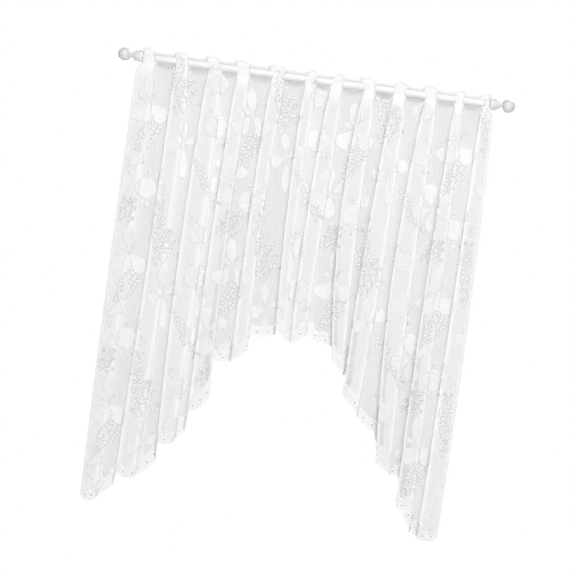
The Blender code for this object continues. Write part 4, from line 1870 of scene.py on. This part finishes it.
@dataclass
class Border:
    """The close-stitched scalloped border along the arched hem, with its eyelets and edge cords."""

    cloth: HungCloth
    width: float = 20.0
    step: float = 2.5
    turn_softness: float = 7.0
    eyelet_radius: float = 2.2
    ring_width: float = 2.3
    eyelet_place: float = 9.0
    eyelet_pitch: float = 23.0
    inner_cord: float = 2.0
    outer_cord: float = 1.5
    edge: Array = field(init=False)
    inward: Array = field(init=False)
    along: Array = field(init=False)
    cusps: Array = field(init=False)

    def __post_init__(self) -> None:
        """Draws the hem's edge on the flat cloth and the way in from it, once."""
        fine_points, soft_reach = 6001, 3
        share = np.linspace(0.0, 1.0, fine_points)
        fine = np.stack([share * self.cloth.flat_width, -hem_drop(share)], axis=1)
        length = lengths_along(fine)
        self.along = np.linspace(0.0, length[-1], int(length[-1] / self.step) + 1)
        self.edge = between(self.along, length, fine)
        self.cusps = np.interp([row.across for row in HEM], share, length)
        inward = left_of(self.edge)
        reach = int(soft_reach * self.turn_softness / self.step)
        weights = np.exp(-0.5 * (np.arange(-reach, reach + 1) * self.step / self.turn_softness) ** 2)
        padded = np.pad(inward, ((reach, reach), (0, 0)), mode="edge")
        soft = [np.convolve(padded[:, axis], weights, "valid") for axis in (0, 1)]
        self.inward = unit(np.stack(soft, axis=1))

    def chart(self, points: Array) -> Array:
        """Carries points along and in from the hem's edge to the flat cloth."""
        edge = between(points[:, 0], self.along, self.edge)
        flat = edge + between(points[:, 0], self.along, self.inward) * points[:, 1:2]
        flat[:, 0] = np.clip(flat[:, 0], 0.0, self.cloth.flat_width)
        return flat

    def eyelet_places(self) -> list[float]:
        """Where along the hem the eyelets are: evenly inside each scallop."""
        places = []
        for start, end in zip(self.cusps, self.cusps[1:]):
            count = max(2, round((end - start) / self.eyelet_pitch))
            places += [start + (end - start) * (k + 0.5) / count for k in range(count)]
        return places

    def ring(self, place: float, radius: float, count: int = 14) -> Array:
        """A circle round an eyelet's middle."""
        return (place, self.eyelet_place) + radius * round_points(full_circle(count))

    def band(self) -> Plate:
        """The band itself, open at its eyelets, with evenly spaced points."""
        clear_share, edge_rise, middle_rise = 0.4, 0.4, 0.1
        end = self.along[-1]
        bottom = [(x, 0.0) for x in np.arange(0.0, end, self.step)] + [(end, 0.0)]
        top = [(x, self.width) for x, _ in reversed(bottom)]
        holes = [self.ring(place, self.eyelet_radius) for place in self.eyelet_places()]
        rows = np.arange(self.step, self.width - self.step / 2, self.step)
        columns = np.arange(self.step, end - self.step / 2, self.step)
        grid = np.array([(x, y) for y in rows for x in columns])
        nearest = np.full(len(grid), np.inf)
        for hole in holes:
            nearest = np.minimum(nearest, np.linalg.norm(grid - hole.mean(axis=0), axis=1))
        grid = grid[nearest > self.eyelet_radius + self.step * clear_share]
        points, triangles = triangulated([np.array(bottom + top), *holes], grid)
        rise = edge_rise + middle_rise * np.sin(points[:, 1] / self.width * math.pi)
        return Plate(points, triangles, rise, points.copy())

    def rings(self) -> Plate:
        """The raised rings round the eyelets."""
        middle = self.eyelet_radius + self.ring_width / 2
        circles = [self.ring(place, middle) for place in self.eyelet_places()]
        form = {"across": 3, "raised": 1.15, "edge_raised": 0.5, "closed": True}
        return Plate.joined([stroke(circle, self.ring_width, **form) for circle in circles])

    def cord(self, place: float, width: float, raised: float) -> Plate:
        """A raised cord along the band, at one distance from its edge."""
        path = np.stack([self.along, np.full(len(self.along), place)], axis=1)
        return stroke(path, width, across=3, raised=raised, edge_raised=0.3)

    def eyelet_shade_discs(self) -> Plate:
        """Small darker rounds across the eyelets: painted shade standing for the shadow in each hole."""
        count, overlap, thin = 12, 0.4, 0.1
        rounds = []
        for place in self.eyelet_places():
            circle = self.ring(place, self.eyelet_radius + overlap, count)
            points = np.concatenate([circle, [(place, self.eyelet_place)]])
            faces = np.array([(count, k, (k + 1) % count) for k in range(count)])
            rounds.append(Plate(points, faces, np.full(count + 1, thin), points.copy()))
        return Plate.joined(rounds)

    def build(self, sewing: Sewing) -> dict[str, tuple[bpy.types.Object, Finish]]:
        """Builds the border's pieces.

        Args:
            sewing: Puts flat plates on the hung cloth.

        Returns:
            Each piece with its finish, by name.
        """
        outer_inset, outer_raised, inner_inset, inner_raised = 0.7, 0.95, 0.6, 1.25
        outer = self.cord(outer_inset, self.outer_cord, outer_raised)
        inner = self.cord(self.width - inner_inset, self.inner_cord, inner_raised)
        made = (
            ("border_band", self.band(), Finish.BORDER),
            ("border_rings", self.rings(), Finish.CORD),
            ("border_cords", Plate.joined([outer, inner]), Finish.CORD),
            # Painted shade: a darker round over each eyelet's hole.
            ("border_eyelet_shade", self.eyelet_shade_discs(), Finish.EYELET_SHADE),
        )
        return {name: (sewing.mesh(name, plate, self.chart), finish) for name, plate, finish in made}


@dataclass
class Hems:
    """The turned side hems and the narrow hem along the top edge."""

    cloth: HungCloth
    side_width: float = 7.5
    top_width: float = 4.5
    step: float = 4.0
    top_inset: float = 0.5
    hem_inset: float = 1.0
    raised: float = 0.55
    edge_raised: float = 0.45

    def side(self, across: float) -> Plate:
        """One side hem, down the whole edge."""
        share = 0.0 if across < self.cloth.flat_width / 2 else 1.0
        low = -float(hem_drop(np.array([share]))[0]) + self.hem_inset
        heights = np.arange(self.cloth.top_corner - self.top_inset, low, -self.step)
        path = np.stack([np.full(len(heights) + 1, across), np.append(heights, low)], axis=1)
        return stroke(path, self.side_width, 3, self.raised, self.edge_raised)

    def top(self) -> Plate:
        """The hem along the top edge."""
        top = self.cloth.top_edge()
        _, shares = self.cloth.at_columns(top[None])
        path = np.stack([shares[0] * self.cloth.flat_width, top - self.top_width / 2], axis=1)
        return stroke(path, self.top_width, 2, self.raised, self.edge_raised)

    def build(self, sewing: Sewing) -> dict[str, tuple[bpy.types.Object, Finish]]:
        """Builds the hems.

        Args:
            sewing: Puts flat plates on the hung cloth.

        Returns:
            Each piece with its finish, by name.
        """
        half = self.side_width / 2
        made = (
            ("side_hem_left", self.side(half)),
            ("side_hem_right", self.side(self.cloth.flat_width - half)),
            ("top_hem", self.top()),
        )
        return {name: (sewing.mesh(name, plate), Finish.HEM) for name, plate in made}


def only(item: bpy.types.Object | None) -> None:
    """Deselects everything, then selects and activates one object where it is given."""
    bpy.ops.object.select_all(action="DESELECT")
    if item is not None:
        item.select_set(True)
        bpy.context.view_layer.objects.active = item


class Ring(NamedTuple):
    """One ring of a turned piece: its place along the rod and its radius, in millimetres."""

    along: float
    radius: float


@dataclass
class TurnedPiece:
    """A round piece on the rod's axis, drawn out ring by ring from a circle."""

    name: str
    rings: tuple[Ring, ...]
    side: int = 1
    around: int = 64
    sharp_angle: float = 40.0

    def build(self) -> bpy.types.Object:
        """Draws the piece out along X and closes its ends.

        Returns:
            The object, at the origin.
        """
        only(None)
        first = self.rings[0]
        bpy.ops.mesh.primitive_circle_add(
            vertices=self.around,
            radius=first.radius * MM,
            fill_type="NGON",
            location=(self.side * first.along * MM, 0.0, 0.0),
            rotation=(0.0, math.pi / 2, 0.0),
        )
        piece = bpy.context.active_object
        piece.name = self.name
        piece.data.name = self.name
        bpy.ops.object.transform_apply(location=True, rotation=True, scale=True)
        bpy.ops.object.mode_set(mode="EDIT")
        bpy.ops.mesh.select_all(action="SELECT")
        for last, ring in zip(self.rings, self.rings[1:]):
            step = self.side * (ring.along - last.along) * MM
            bpy.ops.mesh.extrude_region_move(TRANSFORM_OT_translate={"value": (step, 0.0, 0.0)})
            grow = ring.radius / last.radius
            bpy.ops.transform.resize(value=(1.0, grow, grow), center_override=(0.0, 0.0, 0.0))
        bpy.ops.mesh.select_all(action="SELECT")
        bpy.ops.mesh.normals_make_consistent(inside=False)
        bpy.ops.object.mode_set(mode="OBJECT")
        bpy.ops.object.shade_smooth_by_angle(angle=math.radians(self.sharp_angle))
        only(None)
        return piece


@dataclass
class RodEnds:
    """The rod, and the ringed cap and the ball at each end."""

    shoulder: float = 357.7
    rod_radius: float = 8.0
    plug_radius: float = 6.0
    plug_end: float = 373.0
    cap_start: float = 358.0
    cap_mouth: float = 6.3
    ball_centre: float = 396.3
    ball_radius: float = 13.5
    neck_radius: float = 3.8
    neck_start: float = 381.3
    ball_steps: int = 26
    ball_pole: float = 0.02

    def rod_rings(self) -> tuple[Ring, ...]:
        """The rod from its left plug to its right one, with softened shoulders."""
        soft, sharp = 0.5, 0.05
        end = (
            Ring(self.shoulder - soft, self.rod_radius),
            Ring(self.shoulder, self.rod_radius - soft),
            Ring(self.shoulder + sharp, self.plug_radius),
            Ring(self.plug_end, self.plug_radius),
        )
        start = tuple(Ring(-ring.along, ring.radius) for ring in reversed(end))
        return start + end

    def cap_rings(self) -> tuple[Ring, ...]:
        """The cap from its mouth outwards: a rolled rim, two fine rings and a waist."""
        outside = (
            (0.1, 8.6),
            (0.0, 10.4),
            (0.4, 11.4),
            (1.2, 12.1),
            (2.6, 12.6),
            (4.5, 12.8),
            (6.6, 12.6),
            (8.0, 12.2),
            (8.9, 11.5),
            (9.4, 10.9),
            (9.9, 10.9),
            (10.4, 11.5),
            (11.2, 11.8),
            (12.4, 11.6),
            (13.5, 11.0),
            (14.4, 10.2),
            (15.2, 9.5),
            (16.8, 8.7),
            (18.5, 7.8),
            (20.2, 6.6),
            (21.5, 5.6),
            (22.4, 5.0),
            (23.0, 4.5),
        )
        past_plug, lip = 0.5, 0.4
        mouth = (
            Ring(self.plug_end + past_plug, self.cap_mouth),
            Ring(self.cap_start + lip, self.cap_mouth),
        )
        return mouth + tuple(Ring(self.cap_start + along, radius) for along, radius in outside)

    def ball_rings(self) -> tuple[Ring, ...]:
        """The neck with its bead, then the ball."""
        soft, along = 0.5, 0.4
        neck = (
            Ring(self.neck_start, self.neck_radius - soft),
            Ring(self.neck_start + along, self.neck_radius),
        )
        meet = math.asin(self.neck_radius / self.ball_radius)
        sweep = math.pi - meet - self.ball_pole
        turns = [meet + sweep * k / self.ball_steps for k in range(self.ball_steps + 1)]
        ball = tuple(
            Ring(self.ball_centre - self.ball_radius * math.cos(turn), self.ball_radius * math.sin(turn))
            for turn in turns
        )
        return neck + ball

    def build(self) -> dict[str, tuple[bpy.types.Object, Finish, str]]:
        """Builds the rod, the caps and the balls.

        Returns:
            Each piece with its finish and its slot, by the name of the node that it stands for.
        """
        made = {"rod": (TurnedPiece("rod_tube", self.rod_rings()).build(), Finish.ROD, "rod")}
        for word, side in (("left", -1), ("right", 1)):
            cap = TurnedPiece(f"end_cap_{word}", self.cap_rings(), side).build()
            ball = TurnedPiece(f"end_ball_{word}", self.ball_rings(), side).build()
            made[f"cap_{word}"] = (cap, Finish.CAP, "end_caps")
            made[f"ball_{word}"] = (ball, Finish.BALL, "ball_ends")
        return made


class Lamp(NamedTuple):
    """A soft square light: its place and side in metres and its power in watts."""

    name: str
    place: tuple[float, float, float]
    side: float
    power: float


@dataclass
class Studio:
    """The camera at the photograph's angle, the pale floor and the soft lights."""

    photo_scale: float = 2.048
    photo_side: int = 576
    roll: float = 7.76
    aim: tuple[float, float, float] = (-0.0003, 0.0, -0.4294)
    lens: float = 100.0
    sensor: float = 36.0
    floor_height: float = -1.25
    floor_side: float = 400.0
    floor_colour: Colour = grey(0.9, 0.9)
    sky_seen: float = 1.0
    sky_light: float = 0.3
    seen_to: float = 200.0
    most_layers: int = 64
    lamps: tuple[Lamp, ...] = (
        Lamp("key light", (0.1, -2.6, 2.3), 1.0, 61.0),
        Lamp("fill light", (0.6, -3.9, -0.5), 2.4, 68.0),
        Lamp("rear key light", (1.2, 2.9, 1.9), 1.2, 65.0),
        Lamp("rear fill light", (-1.0, 3.8, -0.3), 1.6, 50.0),
    )

    def camera(self) -> None:
        """Places the camera straight in front of the curtain, rolled as the photograph is."""
        view_width = self.photo_side * self.photo_scale * MM
        distance = self.lens / self.sensor * view_width
        data = bpy.data.cameras.new("camera")
        data.lens = self.lens
        data.sensor_width = self.sensor
        data.clip_end = self.seen_to
        camera = bpy.data.objects.new("camera", data)
        bpy.context.scene.collection.objects.link(camera)
        angle = math.radians(self.roll)
        right = Vector((math.cos(angle), 0.0, math.sin(angle)))
        up = Vector((-math.sin(angle), 0.0, math.cos(angle)))
        back = right.cross(up)
        place = Vector(self.aim) + back * distance
        camera.matrix_world = Matrix(
            [[right[k], up[k], back[k], place[k]] for k in range(3)] + [[0.0, 0.0, 0.0, 1.0]]
        )
        bpy.context.scene.camera = camera

    def floor(self) -> None:
        """Lays the plain pale floor."""
        only(None)
        bpy.ops.mesh.primitive_plane_add(size=self.floor_side, location=(0.0, 0.0, self.floor_height))
        floor = bpy.context.active_object
        floor.name = "studio_floor"
        material, tree, shader = started_material("studio floor", roughness=0.9)
        seen = tree.add("ShaderNodeLightPath").outputs["Is Camera Ray"]
        looks = {
            "Emission Strength": seen,
            "Emission Color": grey(1.0, 1.0),
            "Base Color": tree.mix(seen, self.floor_colour, grey(0.0, 0.0)),
            "Specular IOR Level": 0.0,
        }
        tree.feed(shader, looks)
        floor.data.materials.append(material)
        only(None)

    def sky(self) -> None:
        """A white room all round, brighter to the eye than as a light."""
        world = bpy.data.worlds.new("white room")
        world.use_nodes = True
        tree = Tree(world.node_tree)
        seen = tree.add("ShaderNodeLightPath").outputs["Is Camera Ray"]
        strength = tree.maths("MULTIPLY_ADD", seen, self.sky_seen - self.sky_light, self.sky_light)
        tree.feed(world.node_tree.nodes["Background"], {"Color": grey(1.0, 1.0), "Strength": strength})
        bpy.context.scene.world = world

    def light(self, lamp: Lamp) -> None:
        """Adds a lamp that faces the curtain's middle."""
        data = bpy.data.lights.new(lamp.name, "AREA")
        data.shape = "SQUARE"
        data.size = lamp.side
        data.energy = lamp.power
        item = bpy.data.objects.new(lamp.name, data)
        item.location = lamp.place
        item.visible_camera = False
        item.rotation_mode = "QUATERNION"
        item.rotation_quaternion = (Vector(self.aim) - Vector(lamp.place)).to_track_quat("-Z", "Y")
        bpy.context.scene.collection.objects.link(item)

    def build(self) -> None:
        """Sets up the whole studio."""
        scene = bpy.context.scene
        scene.view_settings.view_transform = "Standard"
        scene.cycles.transparent_max_bounces = self.most_layers
        self.camera()
        self.floor()
        self.sky()
        for lamp in self.lamps:
            self.light(lamp)


def main() -> None:
    """Builds and dresses every piece, then the studio."""
    logging.basicConfig(level=logging.INFO, format="%(message)s")
    cloth = HungCloth()
    wardrobe = Wardrobe()
    sewing = Sewing(cloth)
    net = Net(cloth).build()
    wardrobe.dress(net, Finish.NET)
    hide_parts("curtain")
    sewn = {**Border(cloth).build(sewing), **Hems(cloth).build(sewing)}
    for kind, plate in Pattern().plates(cloth).items():
        name = "lace_" + kind.name.lower()
        finish = Finish.FLORETS if kind in FLORET_KINDS else Finish.EMBROIDERY
        sewn[name] = (sewing.mesh(name, sewing.trimmed(plate, MOTIF_MARGIN)), finish)
    for piece, finish in sewn.values():
        wardrobe.dress(piece, finish)
    for node, (piece, finish, slot) in RodEnds().build().items():
        wardrobe.dress(piece, finish)
        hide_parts(node)
    cloth.flat_length()
    cloth.flat_area()
    Studio().build()


if __name__ == "__main__":
    main()
